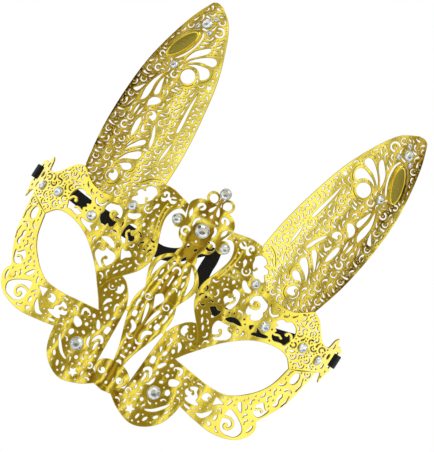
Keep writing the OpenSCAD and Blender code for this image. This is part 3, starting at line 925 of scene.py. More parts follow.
# ---------------------------------------------------------------- cheek
CHEEK = (
    run([(10.3, -29), (12.4, -24.3), (16.1, -19.8), (19.5, -18.2)])
    + run([(19.5, -18.2), (23, -22.5), (25.5, -29)])
    + run([(25.5, -29), (22.8, -32.4), (20, -36.5)])
    + run([(20, -36.5), (30, -37.8), (39, -38.8), (48, -37.8), (56, -32), (61.7, -24), (64.4, -13.5)])
    + [(64.4, -13.5)]
    + run([(TEMPLE_END, -8.5), (73.6, -18), (71, -29), (64.8, -41)])
    + run([(64.8, -41), (66.3, -44.5), (65, -49), (60, -53.5), (51, -55.7), (42, -54.8), (33, -53)])
    + run([(33, -53), (32.2, -58), (29.8, -64), (24.6, -69), (18, -71), (10, -68.4), (4.6, -64.8)])
    + [(4.6, -64.8), (4.6, -61.6)]
    + run([(8.3, -59.5), (8.9, -48.3), (9.6, -36), (10.3, -29)])
)[::-1]
CHEEK_SHAPES = (
    holes(
        # beside the nose
        blob([(15.3, -22.6), (16.4, -21.1), (17.7, -21.5), (17.5, -22.6), (18.4, -23.1), (17.9, -24.9),
              (18.3, -25.7), (17.2, -25.9), (15.5, -25.1)]),
        disc(20.6, -24.3, 0.55), c_hole(20.6, -24.3, 1.6, 0.5, 100, 200, 8),
        oval(15.8, -27.4, 1.1, 1.6, 10), oval(22.3, -27.4, 1.3, 1.7, 20),
        blob([(13.0, -29.9), (14.6, -29.6), (15.1, -31.2), (14.3, -33.4), (13.7, -33.2), (14.2, -31.2)]),
        blob([(17.1, -29.9), (18.5, -29.3), (19.9, -30.8), (19.9, -33.4), (19.2, -33.2), (18.4, -31.6)]),
        oval(17.6, -34.2, 1.7, 2.2, 20), drop(12.0, -34.9, 13.2, -37.9, 1.2), oval(15.0, -36.9, 1.8, 2.9, -20),
        box_hole(12.0, -42.0, 2.5, 3.6, 4),
        blob([(15.0, -43.6), (15.8, -41.6), (17.4, -40.1), (18.2, -40.6), (17.6, -42.2), (16.4, -43.9)]),
        oval(16.8, -45.9, 1.4, 2.0, 10), oval(20.4, -39.7, 1.6, 2.0, -40),
        blob([(21.9, -39.8), (23.6, -38.6), (25.8, -38.7), (26.4, -40.4), (25.6, -42.6), (24.8, -41.6),
              (25.1, -40.2), (23.9, -39.8), (22.9, -41.2), (22, -40.9)]),
        blob([(23, -45.4), (24.6, -44.2), (27.1, -43.8), (27.7, -45), (27, -46.7), (24.6, -48), (23.2, -47.2)]),
        oval(21.2, -44.6, 1.8, 1.7), oval(20.4, -48.4, 2.0, 1.4, 25), disc(28.9, -48.2, 0.7),
        oval(29.9, -43.4, 1.6, 1.2, 20),
        blob([(24.0, -50.6), (25.0, -49.4), (26.5, -50.5), (26.1, -52.1), (24.6, -52.3)]),
        blob([(10.5, -47.8), (11.3, -46.0), (13.0, -45.2), (14.6, -46.2), (15.4, -48.6), (15.0, -50.2),
              (14.2, -48.8), (13.2, -47.2), (12.0, -47.4), (11.5, -48.8)]),
        blob([(12.0, -48.9), (13.0, -48.4), (13.6, -50.4), (13.0, -52.8), (12.2, -52.0), (12.3, -50.4)]),
        blob([(17.0, -47.8), (17.6, -50.0), (16.6, -52.2), (14.6, -52.7), (15.6, -51.6), (16.2, -49.8)]),
        disc(10.4, -54.4, 0.7), drop(12.0, -54.9, 12.3, -57.6, 1.1), disc(14.3, -55.2, 0.75),
        c_hole(10.2, -59.2, 1.2, 0.8, -30, 120, 8), oval(14.4, -60.9, 1.7, 1.3, 20), oval(17.2, -59.3, 1.8, 1.9, 20),
        oval(8.2, -62.4, 1.6, 0.9, 15), drop(11.3, -62.6, 11.2, -65.8, 1.1),
        star(15.0, -65.6, 2.4, 5, 0.55, 95), oval(19.5, -66.6, 1.3, 2.8, -8), oval(23.0, -65.9, 1.4, 2.9, -24),
        oval(26.6, -62.8, 1.5, 2.8, -36), oval(29.5, -58.6, 1.1, 2.6, -24),
        blob([(20.4, -62.3), (23.2, -60.6), (25.8, -57.9), (28.2, -55), (28.9, -53.6), (28.9, -55.8), (27, -58.8),
              (24.6, -61.3), (21.9, -62.6)]),
        # across the cheek
        blob([(31.1, -45.9), (31.7, -44), (33.6, -42.2), (35.7, -41.8), (36, -43.7), (37.7, -45.4), (37.6, -47.1),
              (39.4, -47.9), (39.4, -48.9), (36.6, -49.6), (33.7, -49.5), (32.7, -48.5), (33.6, -47.5), (32.1, -47)]),
        disc(41.0, -43.7, 2.4, 20),
        blob([(44.4, -40.9), (46.7, -41.3), (48.8, -42), (46.8, -43.4), (44.7, -44.9), (44.5, -43)]),
        blob([(40.3, -51.6), (42.5, -50.6), (45.0, -47.8), (46.3, -46.6), (46, -49.7), (44.1, -52.3), (41.8, -52.6)]),
        blob([(33.9, -50.9), (35.8, -50.9), (38, -51.5), (36.3, -52.2), (34.5, -51.9)]),
        blob([(48, -48.3), (49, -47.6), (49.5, -49.1), (49.1, -50.4), (48.2, -50.3)]),
        blob([(46.6, -52.0), (48, -51.8), (48.9, -52.8), (48.0, -54.0), (47.2, -53.4)]),
        blob([(49.9, -40.4), (50.4, -38.9), (51.2, -38.6), (51.1, -40), (50.4, -41.7)]),
        blob([(53.6, -37.8), (54.9, -37.2), (57.2, -41.0), (54.7, -40.3)]),
        blob([(51.8, -42.5), (54.1, -42.4), (57.4, -44), (60.1, -45.8), (61.8, -47.9), (61.6, -50.3), (60.1, -52.2),
              (58.1, -52.8), (55.4, -53.2), (52.9, -52), (51.7, -49.7), (51.5, -46.4)]),
        blob([(64.0, -43.4), (64.8, -43.6), (64.9, -45.0), (64.4, -46.7), (63.5, -47.7), (63.4, -46.6),
              (63.7, -44.9)]),
        blob([(60.9, -35), (61.6, -33.4), (63.1, -32.1), (64.4, -33.5), (65.8, -34.6), (66.9, -33.7), (66.7, -35.4),
              (65.6, -37.9), (64.2, -39.2), (61.6, -38.6)]),
        blob([(68.1, -13.3), (69.9, -13), (70.7, -15.6), (70, -18.2), (68.3, -18.9), (67.3, -17.4), (67.5, -15.3)]),
        blob([(67.6, -24.4), (68.7, -25.6), (68.3, -27.6), (68.9, -29.6), (68.3, -31.2), (67.0, -31.4),
              (66.6, -30.8), (67.5, -29.6), (67.0, -27.6), (67.1, -25.9)]),
        stroke([(71.9, -14.0), (72.6, -17.4), (72.1, -20.6)], [0.5, 0.9, 0.5]),
        stroke([(70.9, -24.0), (71.0, -27.0), (70.2, -29.8)], [0.5, 0.8, 0.5]),
    )
    + scroll([(38.4, -45.9), (39.6, -45.6), (41.6, -45.4), (42.7, -44.4), (42.2, -43.2)], 0.9, 0.8, 1.5)
    + scroll([(50.6, -46.9), (53.4, -45.9), (55.7, -46.2), (57.1, -48.1), (56.4, -50.1), (54.7, -50.7),
              (53.9, -49.8)], 1.0, 1.2, 1.9, (54.3, -49.4))
    + scroll([(60.2, -36.8), (61.9, -36.4), (63.3, -35.4), (64.6, -36.0)], 0.9, 0.7, 1.2)
    + scroll([(31.4, -43.2), (32.8, -44.6), (34.4, -44.3), (34.9, -45.3)], 0.9, 0.7, 1.2)
    + scroll([(24.4, -43.0), (23.9, -41.6), (23.0, -40.4)], 0.8, 0.7, 1.0)
)

# ---------------------------------------------------------------- ear, before it is sprung
EAR_TOP = 106
EAR = (
    run([(61, EAR_LOW), (64.6, 30), (66.5, 47), (66.8, 65), (65, 80), (61.5, 95), (57.5, EAR_TOP - 1)])
    + run([(57.5, EAR_TOP - 1), (55.5, EAR_TOP), (52.5, EAR_TOP - 0.4)])
    + run([(52.5, EAR_TOP - 0.4), (46, 101), (40.5, 92), (33.9, 76), (29, 55), (26.5, 39), (25.6, 26)])
    + run([(25.6, 26), (28.5, 16.5), (36, 8.5), (45, 5.5), (54, 6), (61, EAR_LOW)])
)
PLATE = (57.4, 82.3)
PLATE_LEAN = 22
EAR_STONE = (55, 72.4)
TIP_STONE = (53.6, 95.8)
TIP_CHIPS = ((51.6, 99.6), (56.8, 92.8), (50.4, 92.8))
EAR_SHAPES = (
    holes(
        # slits round the oval plate
        stroke(oval_arc(*PLATE, 4.4, 10.2, PLATE_LEAN, 98, 122), [0.5] + [1.1] * 11 + [0.5]),
        stroke(oval_arc(*PLATE, 4.3, 10.1, PLATE_LEAN, 72, -112), [0.45] * 13),
        # the fan of petals
        blob([(52.3, 76.4), (50.3, 79.1), (48.1, 81.5), (46, 83.9), (45, 85.8), (45.4, 87.6), (46.7, 87.2),
              (48.5, 85.5), (50.7, 83.1), (52.0, 80)]),
        blob([(51, 76.2), (48.3, 78.2), (45.4, 80), (42.1, 80.7), (40, 81.4), (39.3, 83), (40.1, 84.6), (41.9, 84.9),
              (44.2, 83.9), (47.4, 81.3), (49.9, 78.5)]),
        blob([(50.4, 75.2), (47.7, 76.3), (45.1, 76.5), (43.1, 75.2), (42.0, 73.8), (40.5, 73.7), (39.1, 75.3),
              (38.8, 77.1), (39.9, 78.9), (41.8, 79.5), (44.5, 78.9), (47.8, 77.6)]),
        disc(46.8, 71.6, 3.5, 24),
        # lines outside the petals
        stroke(arc(46.8, 71.6, 4.5, 200, 110, 10), [0.3] * 11),
        stroke(oval_arc(41.6, 76.4, 3.6, 4.6, 20, 110, 120, 9), [0.3] * 10),
        stroke(oval_arc(41.6, 83.0, 3.2, 3.4, 0, 70, 110, 8), [0.3] * 9),
        # scrolls under the plate
        disc(58.3, 71.2, 0.5), c_hole(58.3, 71.2, 1.5, 0.45, 130, 150, 8), c_hole(52.6, 69.0, 1.5, 0.9, 100, 120, 9),
        c_hole(60.6, 67.4, 1.4, 0.9, 160, 120, 9), c_hole(62.9, 73.6, 1.1, 0.8, 200, 120, 8),
        # leaves below them
        blob([(57.0, 67.0), (59.1, 62.1), (59.7, 56.7), (59, 52.7), (58.3, 51.0), (56.7, 53.1), (56.5, 56.5),
              (57.2, 60.6), (56.9, 64.6)]),
        blob([(55.5, 65.8), (56.1, 62.6), (55.8, 59.2), (55.1, 56.9), (53.7, 56.7), (52.9, 58.6), (54, 61.8)]),
        blob([(49.8, 55.4), (51.6, 56.6), (54.2, 55.4), (55.2, 53), (54.1, 50.5), (52.8, 51.7), (51.2, 52.9)]),
        blob([(60.7, 58.4), (62.9, 55.5), (64.4, 53.5), (62.2, 53.1), (61.1, 55.4)]),
        leaf(60.2, 51.6, 61.9, 44.4, 0.9, 0.3), leaf(54.8, 50.0, 55.4, 43.6, 1.2, 0.2),
        leaf(57.4, 50.2, 56.9, 43.4, 1.4, 0.2),
        blob([(53.6, 44.8), (54.2, 42), (53.4, 38), (52, 35.6), (51.3, 37.1), (51.4, 40.5), (52.1, 43.8)]),
        blob([(45.9, 46.1), (43.7, 43.4), (41.9, 39.9), (41.1, 36.8), (41.6, 35.8), (43.2, 38), (44, 40.7),
              (45.4, 43.4)]),
        blob([(46.4, 43.0), (48.4, 41.0), (50.1, 43.5), (50.4, 41.8), (49.2, 39.5), (47.3, 40.9)]),
        disc(49.6, 47.9, 2.5, 20), c_hole(57.6, 38.2, 1.6, 1.0, 150, 110, 9),
        # the lower fan
        blob([(50.7, 28.3), (49.1, 30.7), (46.7, 33.3), (44.6, 35.3), (44.2, 37.0), (45.3, 37.7), (47.1, 36.5),
              (49, 33.4), (50.2, 30.9)]),
        blob([(50.4, 23.1), (48.1, 25.6), (45, 27.4), (42.9, 28.7), (42.3, 30.7), (43.3, 32.3), (45, 31.9),
              (47.6, 29.4), (49.3, 26.6)]),
        blob([(50.1, 21.0), (47.9, 22.3), (45.6, 21.4), (43.9, 22.1), (42.8, 23.6), (43.3, 25.1), (45.1, 25.4),
              (47.4, 23.9)]),
        disc(48.3, 16.6, 3.0, 22),
        stroke(oval_arc(44.6, 24.4, 3.2, 3.2, 0, 120, 110, 8), [0.3] * 9),
        stroke(arc(48.3, 16.6, 4.2, 170, 120, 9), [0.3] * 10),
        leaf(49.8, 35.8, 51.2, 29.8, 0.9, -0.3),
        # long slits and the star near the inner edge, and the line at the root
        blob([(38.3, 68.1), (38.2, 62.1), (37.2, 53.9), (36.2, 48.9), (34.9, 48.9), (35.4, 53.8), (36.5, 59.2),
              (37.4, 64.8)]),
        leaf(34.4, 44.6, 34.5, 32.2, 1.4, 0.0), star(35.8, 72.8, 1.7, 5, 0.5, 90),
        stroke(run([(28.6, 27.2), (31.0, 26.2), (33.4, 24.0), (36.0, 20.2)], 3), [0.3] * 9),
        # the scroll at the tip
        c_hole(46.9, 95.6, 2.0, 1.1, -10, 110, 12),
    )
    + scroll([(47.1, 45.2), (48.2, 46.0), (50.1, 46.3), (51.0, 47.4), (50.5, 48.6)], 0.9, 0.8, 1.6)
    + scroll([(45.2, 14.6), (47.0, 14.2), (49.4, 14.9), (50.2, 16.6), (49.2, 18.0)], 1.0, 0.8, 1.8)
)


def near_inner_edge(p):
    """The plainer band along the inner edge of an ear."""
    return (p[:, 0] < 33.4 + 0.13 * (p[:, 1] - 32)) & (p[:, 1] > 24)


def cut_openings(field, shapes):
    for sign, polygon in shapes:
        if sign < 0:
            field.cut(polygon)


def lace_for_ears():
    """Fine lace for both ears, clear of the plate, the toothed opening and the stones."""
    field = Field(EAR)
    cut_openings(field, EAR_SHAPES)
    field.cut(oval(*PLATE, 5.6, 17.2, PLATE_LEAN))
    field.cut(TOOTHED)
    for (x, z), r in ((EAR_STONE, 1.4), (TIP_STONE, 1.7), *((chip, 0.6) for chip in TIP_CHIPS)):
        field.cut(disc(x, z, r))
    lace = fill(
        field, 3,
        [(("comma",), 1.15, 500), (("dot",), 1.5, 500), (("comma", "dot"), 0.95, 900)],
        0.6, near_inner_edge,
    )
    lace += fill(
        field, 11,
        [
            (("c", "comma"), 1.25, 220), (("drop", "comma", "drop"), 1.35, 1500),
            (("drop", "drop", "comma"), 1.1, 3000), (("drop",), 0.95, 3600), (("dot", "drop"), 0.75, 2400),
        ],
        0.46, lambda p: ~near_inner_edge(p), 0.82, 2.4,
    )
    return lace


EAR_LACE = lace_for_ears()
for side, word in SIDES:
    outline = [tuple(q) for q in sprung(EAR, side)]
    shapes = [(sign, [tuple(q) for q in sprung(p, side)]) for sign, p in EAR_SHAPES + EAR_LACE] + holes(TOOTHED)
    sheet(f"lace_ear_{word}", outline, shapes, ear_surface, f"ear_{word}", side, Field(outline))


FINE = [
    (("c", "s"), 1.2, 500), (("comma", "drop"), 1.15, 900), (("comma", "c", "drop"), 1.0, 1400),
    (("drop", "dot"), 0.85, 1200),
]
SPARSE = [(("comma",), 1.3, 160), (("drop", "comma"), 1.15, 260), (("dot", "drop"), 1.1, 420)]


def at_temple(p):
    return (p[:, 0] > 58) & (p[:, 1] > -14)


def face_piece(name, outline, shapes, stones, seed):
    """The left and right sheets of one part of the face, with the same lace."""
    field = Field(outline)
    cut_openings(field, shapes)
    for x, z, d in stones:
        field.cut(disc(x, z, d / 2))
    lace = fill(field, seed, FINE, 0.5, at_temple)
    lace += fill(field, seed + 1, SPARSE, 0.95, lambda p: ~at_temple(p))
    for side, word in SIDES:
        sheet(f"lace_{name}_{word}", outline, shapes + lace, face_surface, f"{name}_{word}", side, field)


# name, place and width of the stones that are the same on both sides
BROW_STONES = (
    ("upper_brow_stone", 32.2, 10.2, 3.8), ("brow_stone", 45.5, -3.2, 4.2),
    ("inner_temple_stone", 64.3, -2.3, 4.2), ("outer_temple_stone", 72.6, -3.7, 4.2),
)
CHEEK_STONES = (("cheek_stone", 20.1, -54.1, 5.8),)
face_piece("brow", BROW, BROW_SHAPES, [(x, z, d) for _, x, z, d in BROW_STONES], 5)
face_piece("cheek", CHEEK, CHEEK_SHAPES, [(x, z, d + 0.2) for _, x, z, d in CHEEK_STONES], 8)

# ---------------------------------------------------------------- crown, bridge, shield
CROWN_HALF = run([(0, 30.6), (5, 30.2), (9.2, 28.6), (11.4, 25.4), (10.6, 22), (9.4, 18.5), (9.2, 13),
                  (7.6, 10), (5, 8.8), (4, 7), (5.2, 4.4)]) + [(5.2, 2.6)]
BRIDGE_HALF = (
    run([(5.2, 2.6), (8.4, 0.4), (11, -3), (11.7, -5.2)])
    + [(12.2, -5.2), (12.2, -6.8)]
    + run([(11.8, -6.8), (11.4, -9), (10.2, -12), (8.2, -16.5)])
    + [(8.2, -17)]
)
SHIELD_HALF = (
    run([(8.2, -17), (9.6, -21), (9.9, -25), (9.3, -28.4)])
    + [(10.2, -28.4), (10.2, -30)]
    + run([(8.8, -30), (6.6, -36.7), (3.7, -45), (2.4, -51.4)])
    + run([(2.4, -51.4), (5.2, -52.4), (7.8, -54.6), (8.2, -57.6), (6.4, -60.2), (4.6, -61.6)])
    + [(4.6, -64.6), (0, -65.4)]
)


def both(polygons):
    """The polygons and their mirror images."""
    return [p for polygon in polygons for p in (polygon, flip(polygon))]


def whole(half):
    outline = half + flip(half)
    clean = [p for i, p in enumerate(outline) if math.dist(p, outline[i - 1]) > 1e-6]
    return clean[::-1]


NECK = blob([(0, 4.1), (0.8, 3.0), (1.2, 1.8), (0.7, 0.7), (0, 0.3), (-0.7, 0.7), (-1.2, 1.8), (-0.8, 3.0)])
KITE = blob([(0, -15.2), (1.7, -16.4), (2.4, -17.6), (1.6, -19.6), (0.7, -21.6), (0, -23.2), (-0.7, -21.6),
             (-1.6, -19.6), (-2.4, -17.6), (-1.7, -16.4)])
CROWN_SHAPES = [(2, q) for q in both([disc(3.8, 32.5, 2.9, 22), disc(11.4, 16, 3.0, 22)])]
CROWN_SHAPES += [(2, box_hole(0, 32.5, 1.4, 5.4)), (2, disc(0, 36.6, 2.5, 22))]
CROWN_SHAPES += holes(
    *both([
        disc(3.8, 32.5, 1.95, 18), oval(6.2, 26.4, 4.3, 3.5, -10),
        blob([(0.5, 30.0), (1.2, 29.6), (2.5, 27.6), (2.7, 26.4), (1.7, 26.2), (0.8, 27.4)]),
        oval(3.3, 23.8, 2.0, 1.1, -18), leaf(9.3, 24.0, 8.1, 19.4, 1.9),
        blob([(3.6, 21.9), (4.8, 21.6), (5.8, 20.2), (5.8, 18.2), (5.1, 16.8), (4.6, 18.0), (4.6, 19.6),
              (3.7, 20.9)]),
        c_hole(6.5, 13.6, 1.75, 1.25, 190, 100, 12), oval(1.9, 8.6, 1.3, 2.1, -25),
    ]),
    blob([(0, 26.0), (0.7, 24.9), (0.5, 24.1), (-0.5, 24.1), (-0.7, 24.9)]), disc(0, 12, 0.6), NECK,
)
CROWN_SHAPES += [(1, q) for q in both([
    stroke(arc(3.8, 32.5, 2.3, -90, -290, 14, 0.9), [0.9] * 15), disc(3.7, 31.9, 0.75),
    stroke([(7.0, 24.2), (6.5, 25.6), (5.8, 26.7)], [0.9, 0.8, 0.7]),
])]
BRIDGE_SHAPES = holes(
    *both([
        run([(4.6, 1.6), (8.0, -1.4), (9.7, -5), (9.6, -8.6), (8.8, -11.6), (7.8, -8), (6.7, -4), (5.4, -1),
             (4.6, 1.6)], 3),
        oval(2.9, -1.0, 1.5, 2.1, -15), oval(4.2, -4.0, 1.0, 2.6, -32), oval(5.5, -7.2, 1.2, 3.2, 4),
        oval(2.4, -8.0, 1.5, 2.4, 4), oval(6.2, -11.2, 1.1, 2.8, 12),
        stroke(arc(3.7, -11.6, 1.2, 20, 140, 6), [0.8] * 7), disc(2.6, -13.6, 0.75),
    ]),
    stroke(arc(0, -3.7, 1.7, -20, 220, 9), [1.1] * 10), box_hole(0, -8.6, 0.9, 5.4), NECK, KITE,
)
SHIELD_SHAPES = holes(
    *both([
        oval(7.5, -19.8, 1.4, 2.6, -6), disc(4.5, -19.3, 1.9, 18),
        blob([(3.4, -22.0), (3.6, -23.4), (2.4, -27.0), (1.2, -30.6), (0.7, -31.2), (0.7, -28.6), (1.3, -24.8),
              (2.3, -22.4)]),
        oval(4.7, -24.4, 1.1, 2.2, -4), oval(4.1, -27.2, 0.9, 1.3),
        blob([(6.4, -22.4), (7.8, -22.4), (8.0, -24.4), (7.5, -26.4), (6.6, -26.2), (6.7, -24.4)]),
        box_hole(5.9, -29.0, 2.5, 3.0, -6), oval(3.3, -30.3, 1.2, 1.7),
        blob([(2.0, -33.4), (3.4, -32.3), (5.4, -31.9), (5.5, -33.2), (4.4, -33.9), (3.6, -35.2), (3.4, -37.2),
              (2.4, -37.2), (1.7, -35.4)]),
        disc(4.8, -36.0, 0.45),
        stroke([(0.8, -38.7), (1.8, -39.6), (3.2, -39.4), (4.0, -38.4)], [0.6, 1.1, 1.1, 0.6]),
        oval(2.4, -42.0, 1.1, 1.3), oval(2.0, -44.7, 1.0, 1.2), disc(4.7, -57.6, 1.9, 18),
        oval(1.9, -58.8, 0.6, 2.0, 10), oval(3.6, -53.6, 1.6, 0.6, -20),
    ]),
    KITE, oval(0, -42.3, 1.6, 1.6), oval(0, -45.0, 1.5, 1.4), box_hole(0, -47.8, 2.7, 1.1),
    half_moon(0, -50.6, 2.8, 1.9), disc(0, -61.5, 0.7, 14),
)
SHIELD_SHAPES += [(1, q) for q in both([
    stroke(arc(4.5, -19.3, 2.3, -20, 250, 12, 0.8), [0.8] * 13), disc(4.9, -19.8, 0.8),
    stroke(arc(4.7, -57.6, 2.3, 200, -250, 12, 0.8), [0.8] * 13), disc(4.4, -57.2, 0.75),
])]
for name, half, shapes, surface, node in (
    ("lace_crown", CROWN_HALF, CROWN_SHAPES, crown_surface, "crown_plate"),
    ("lace_bridge", BRIDGE_HALF, BRIDGE_SHAPES, nose_surface, "nose_bridge"),
    ("lace_shield", SHIELD_HALF, SHIELD_SHAPES, nose_surface, "nose_shield"),
):
    outline = whole(half)
    sheet(name, outline, shapes, surface, node, 1, Field(outline))

# ---------------------------------------------------------------- temple plates
TAB = (
    run([(3, 3), (8, 4), (10, 8), (13, 9.6), (15, 6.4), (18, 6.6), (21.2, 5.4)])
    + [(21.2, 5.4)]
    + run([(21.2, -5.4), (19, -8), (17.5, -12), (14.5, -8), (10, -8.4), (8, -6), (3, -7)])
    + [(3, -7)]
)[::-1]
TAB_SHAPES = holes(
    [(16, -4.2), (19.2, -4.2), (19.2, 4.2), (16, 4.2)], disc(11.8, 5.4, 1.2), disc(12, -4.8, 1.3),
    oval(8.4, 0.6, 1.4, 3.2), disc(12.2, 0.3, 1.5, 14), oval(17.2, -6.2, 2.2, 1.0), disc(16.6, -9.2, 0.6),
    disc(5.6, -4.2, 0.8), disc(5.4, 0.2, 0.8),
)
for side, word in SIDES:
    sheet(f"lace_temple_tab_{word}", TAB, TAB_SHAPES, tab_surface, f"temple_tab_{word}", side, Field(TAB))

# ---------------------------------------------------------------- stones, plates and thread
def solid(name, verts, faces, materials, which, smooth, node=None, body="mask", painted_facet_light=None):
    mesh = bpy.data.meshes.new(name)
    mesh.from_pydata([tuple(v * MM) for v in verts], [], faces)
    obj = add_object(name, mesh, materials)
    mesh.polygons.foreach_set("material_index", which)
    mesh.polygons.foreach_set("use_smooth", smooth)
    if painted_facet_light is not None:
        mesh.attributes.new("painted_facet_light", "FLOAT", "FACE").data.foreach_set("value", painted_facet_light)
    mesh.update()
    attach(obj, body)
    if node:
        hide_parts(node)
    return obj


def rings_of(levels, count, place, across, up, out):
    """Rings of points from (radius, height) pairs about a seat."""
    verts = []
    for radius, height in levels:
        for k in range(count):
            t = 2 * math.pi * k / count
            verts.append(place + (across * math.cos(t) + up * math.sin(t)) * radius + out * height)
    return verts


def seat(place, out):
    out = unit(np.asarray(out, float))
    across = unit(np.cross((0, 0, 1), out))
    return np.asarray(place, float), across, np.cross(out, across), out


def brilliant(places, d, seed):
    """Faceted stones, each in a thin foil cup; places are (place, outward) pairs."""
    r = random.Random(seed)
    verts, faces, which, smooth, painted_facet_light = [], [], [], [], []

    # Painted light and shade: a random brightness for each crown facet, which the crystal material turns into dark or
    # white facets.
    def shade():
        return r.choice((0.1, 0.45, 0.6, 0.7, 0.8, 0.9, 1.0, 1.0))

    def add(face, material, value):
        faces.append(tuple(base + i for i in face))
        which.append(material)
        smooth.append(material == 1)
        painted_facet_light.append(value)

    for place, outward in places:
        base = len(verts)
        frame_of = seat(place, outward)
        verts += rings_of([(d / 2, 0.16 * d)], 16, *frame_of)
        verts += rings_of([(0.41 * d, 0.27 * d), (0.28 * d, 0.36 * d)], 8, *frame_of)
        verts.append(frame_of[0] + frame_of[3] * 0.36 * d)
        for k in range(8):
            n = (k + 1) % 8
            g = [2 * k, 2 * k + 1, (2 * k + 2) % 16]
            add((g[0], g[1], 16 + k), 0, shade())
            add((g[1], g[2], 16 + n), 0, shade())
            add((g[1], 16 + n, 16 + k), 0, shade())
            add((16 + k, 16 + n, 24 + n, 24 + k), 0, shade())
            # Painted highlight on five of the facets round the table and painted shade on the other three.
            add((24 + k, 24 + n, 32), 0, 0.45 + 0.5 * r.random() if k < 5 else 0.25 * r.random())
        base = len(verts)
        cup = [(d / 2 + 0.26, 0.0), (d / 2 + 0.26, 0.10 * d), (d / 2 + 0.14, 0.19 * d), (d / 2 - 0.04, 0.20 * d),
               (d / 2 - 0.1, 0.12 * d), (d / 2 - 0.1, 0.0)]
        verts += rings_of(cup, 24, *frame_of)
        for k in range(24):
            n = (k + 1) % 24
            for j in range(6):
                i = (j + 1) % 6
                add((j * 24 + k, j * 24 + n, i * 24 + n, i * 24 + k), 1, 0.5)
    return verts, faces, which, smooth, painted_facet_light


def mirrored(pair, side):
    return tuple(np.asarray(v, float) * (side, 1, 1) for v in pair)


def spot(surface, point):
    """One place on a surface and its outward direction."""
    place, out = surface(np.array([point], float))
    return place[0], out[0]


def on_ear(point, side):
    return mirrored(spot(ear_surface, sprung(point, side)), side)


def set_stone(name, places, d, seed):
    verts, faces, which, smooth, painted_facet_light = brilliant(places, d, seed)
    solid("set_" + name, verts, faces, [CRYSTAL, FOIL], which, smooth, name, painted_facet_light=painted_facet_light)


set_stone("crown_top_stone", [spot(crown_surface, (0, 36.6))], 4.8, 1)
set_stone("crown_centre_stone", [spot(crown_surface, (0, 17.4))], 6.2, 2)
for side, word in SIDES:
    set_stone(f"crown_side_stone_{word}", [mirrored(spot(crown_surface, (12.4, 16)), side)], 4.2, 3 + side)
    for number, (name, x, z, d) in enumerate(BROW_STONES + CHEEK_STONES):
        set_stone(f"{name}_{word}", [mirrored(spot(face_surface, (x, z)), side)], d, 20 + 2 * number + side)
    set_stone(f"ear_stone_{word}", [on_ear(EAR_STONE, side)], 3.5, 40 + side)
    set_stone(f"ear_tip_stone_{word}", [on_ear(TIP_STONE, side)], 4.4, 50 + side)
    set_stone(f"ear_tip_chips_{word}", [on_ear(chip, side) for chip in TIP_CHIPS], 2.0, 60 + side)


def oval_plate(side, word):
    """A low matt dome with a polished bead round it."""
    place, across, up, out = seat(*on_ear(PLATE, side))
    a = side * rad(PLATE_LEAN) - EAR_SPRING
    long, wide = up * math.cos(a) - across * math.sin(a), across * math.cos(a) + up * math.sin(a)
    levels = [(1.0, 0.02), (1.0, 0.45), (0.97, 0.62), (0.93, 0.68), (0.885, 0.62), (0.85, 0.46), (0.84, 0.5)]
    levels += [(0.84 * f, 0.5 + 0.4 * (1 - f * f)) for f in (0.85, 0.65, 0.45, 0.25, 0.1)]
    verts, faces, which = [], [], []
    count = 72
    for share, height in levels:
        for k in range(count):
            t = 2 * math.pi * k / count
            verts.append(place + wide * 3.3 * share * math.cos(t) + long * (9.1 * share) * math.sin(t) + out * height)
    for j in range(len(levels) - 1):
        for k in range(count):
            n = (k + 1) % count
            faces.append((j * count + k, j * count + n, (j + 1) * count + n, (j + 1) * count + k))
            which.append(1 if j < 5 else 0)
    last = (len(levels) - 1) * count
    verts.append(place + out * 0.9)
    for k in range(count):
        faces.append((last + k, last + (k + 1) % count, len(verts) - 1))
        which.append(0)
        faces.append(((k + 1) % count, k, len(verts)))
        which.append(1)
    verts.append(place + out * 0.02)
    solid(f"oval_plate_{word}", verts, faces, [MATT, GOLD], which, [True] * len(faces), f"ear_medallion_{word}")


def tubes(name, lines, radius, material, body="mask", node=None):
    """Round-ended threads along lines, as one piece."""
    verts, faces = [], []
    for line in lines:
        p = np.asarray(line, float)
        heading = np.gradient(p, axis=0)
        base, count = len(verts), len(p)
        for i in range(count):
            ahead = unit(heading[i])
            side_way = unit(np.cross(ahead, (0.3, 0.9, 0.2)))
            r = radius * (0.35 if i in (0, count - 1) else 1)
            verts += rings_of([(r, 0)], 8, p[i], side_way, np.cross(ahead, side_way), ahead)
        for i in range(count - 1):
            for k in range(8):
                n = (k + 1) % 8
                faces.append((base + i * 8 + k, base + i * 8 + n, base + i * 8 + 8 + n, base + i * 8 + 8 + k))
        faces.append(tuple(base + k for k in range(7, -1, -1)))
        faces.append(tuple(base + (count - 1) * 8 + k for k in range(8)))
    solid(name, verts, faces, [material], [0] * len(faces), [True] * len(faces), node, body)


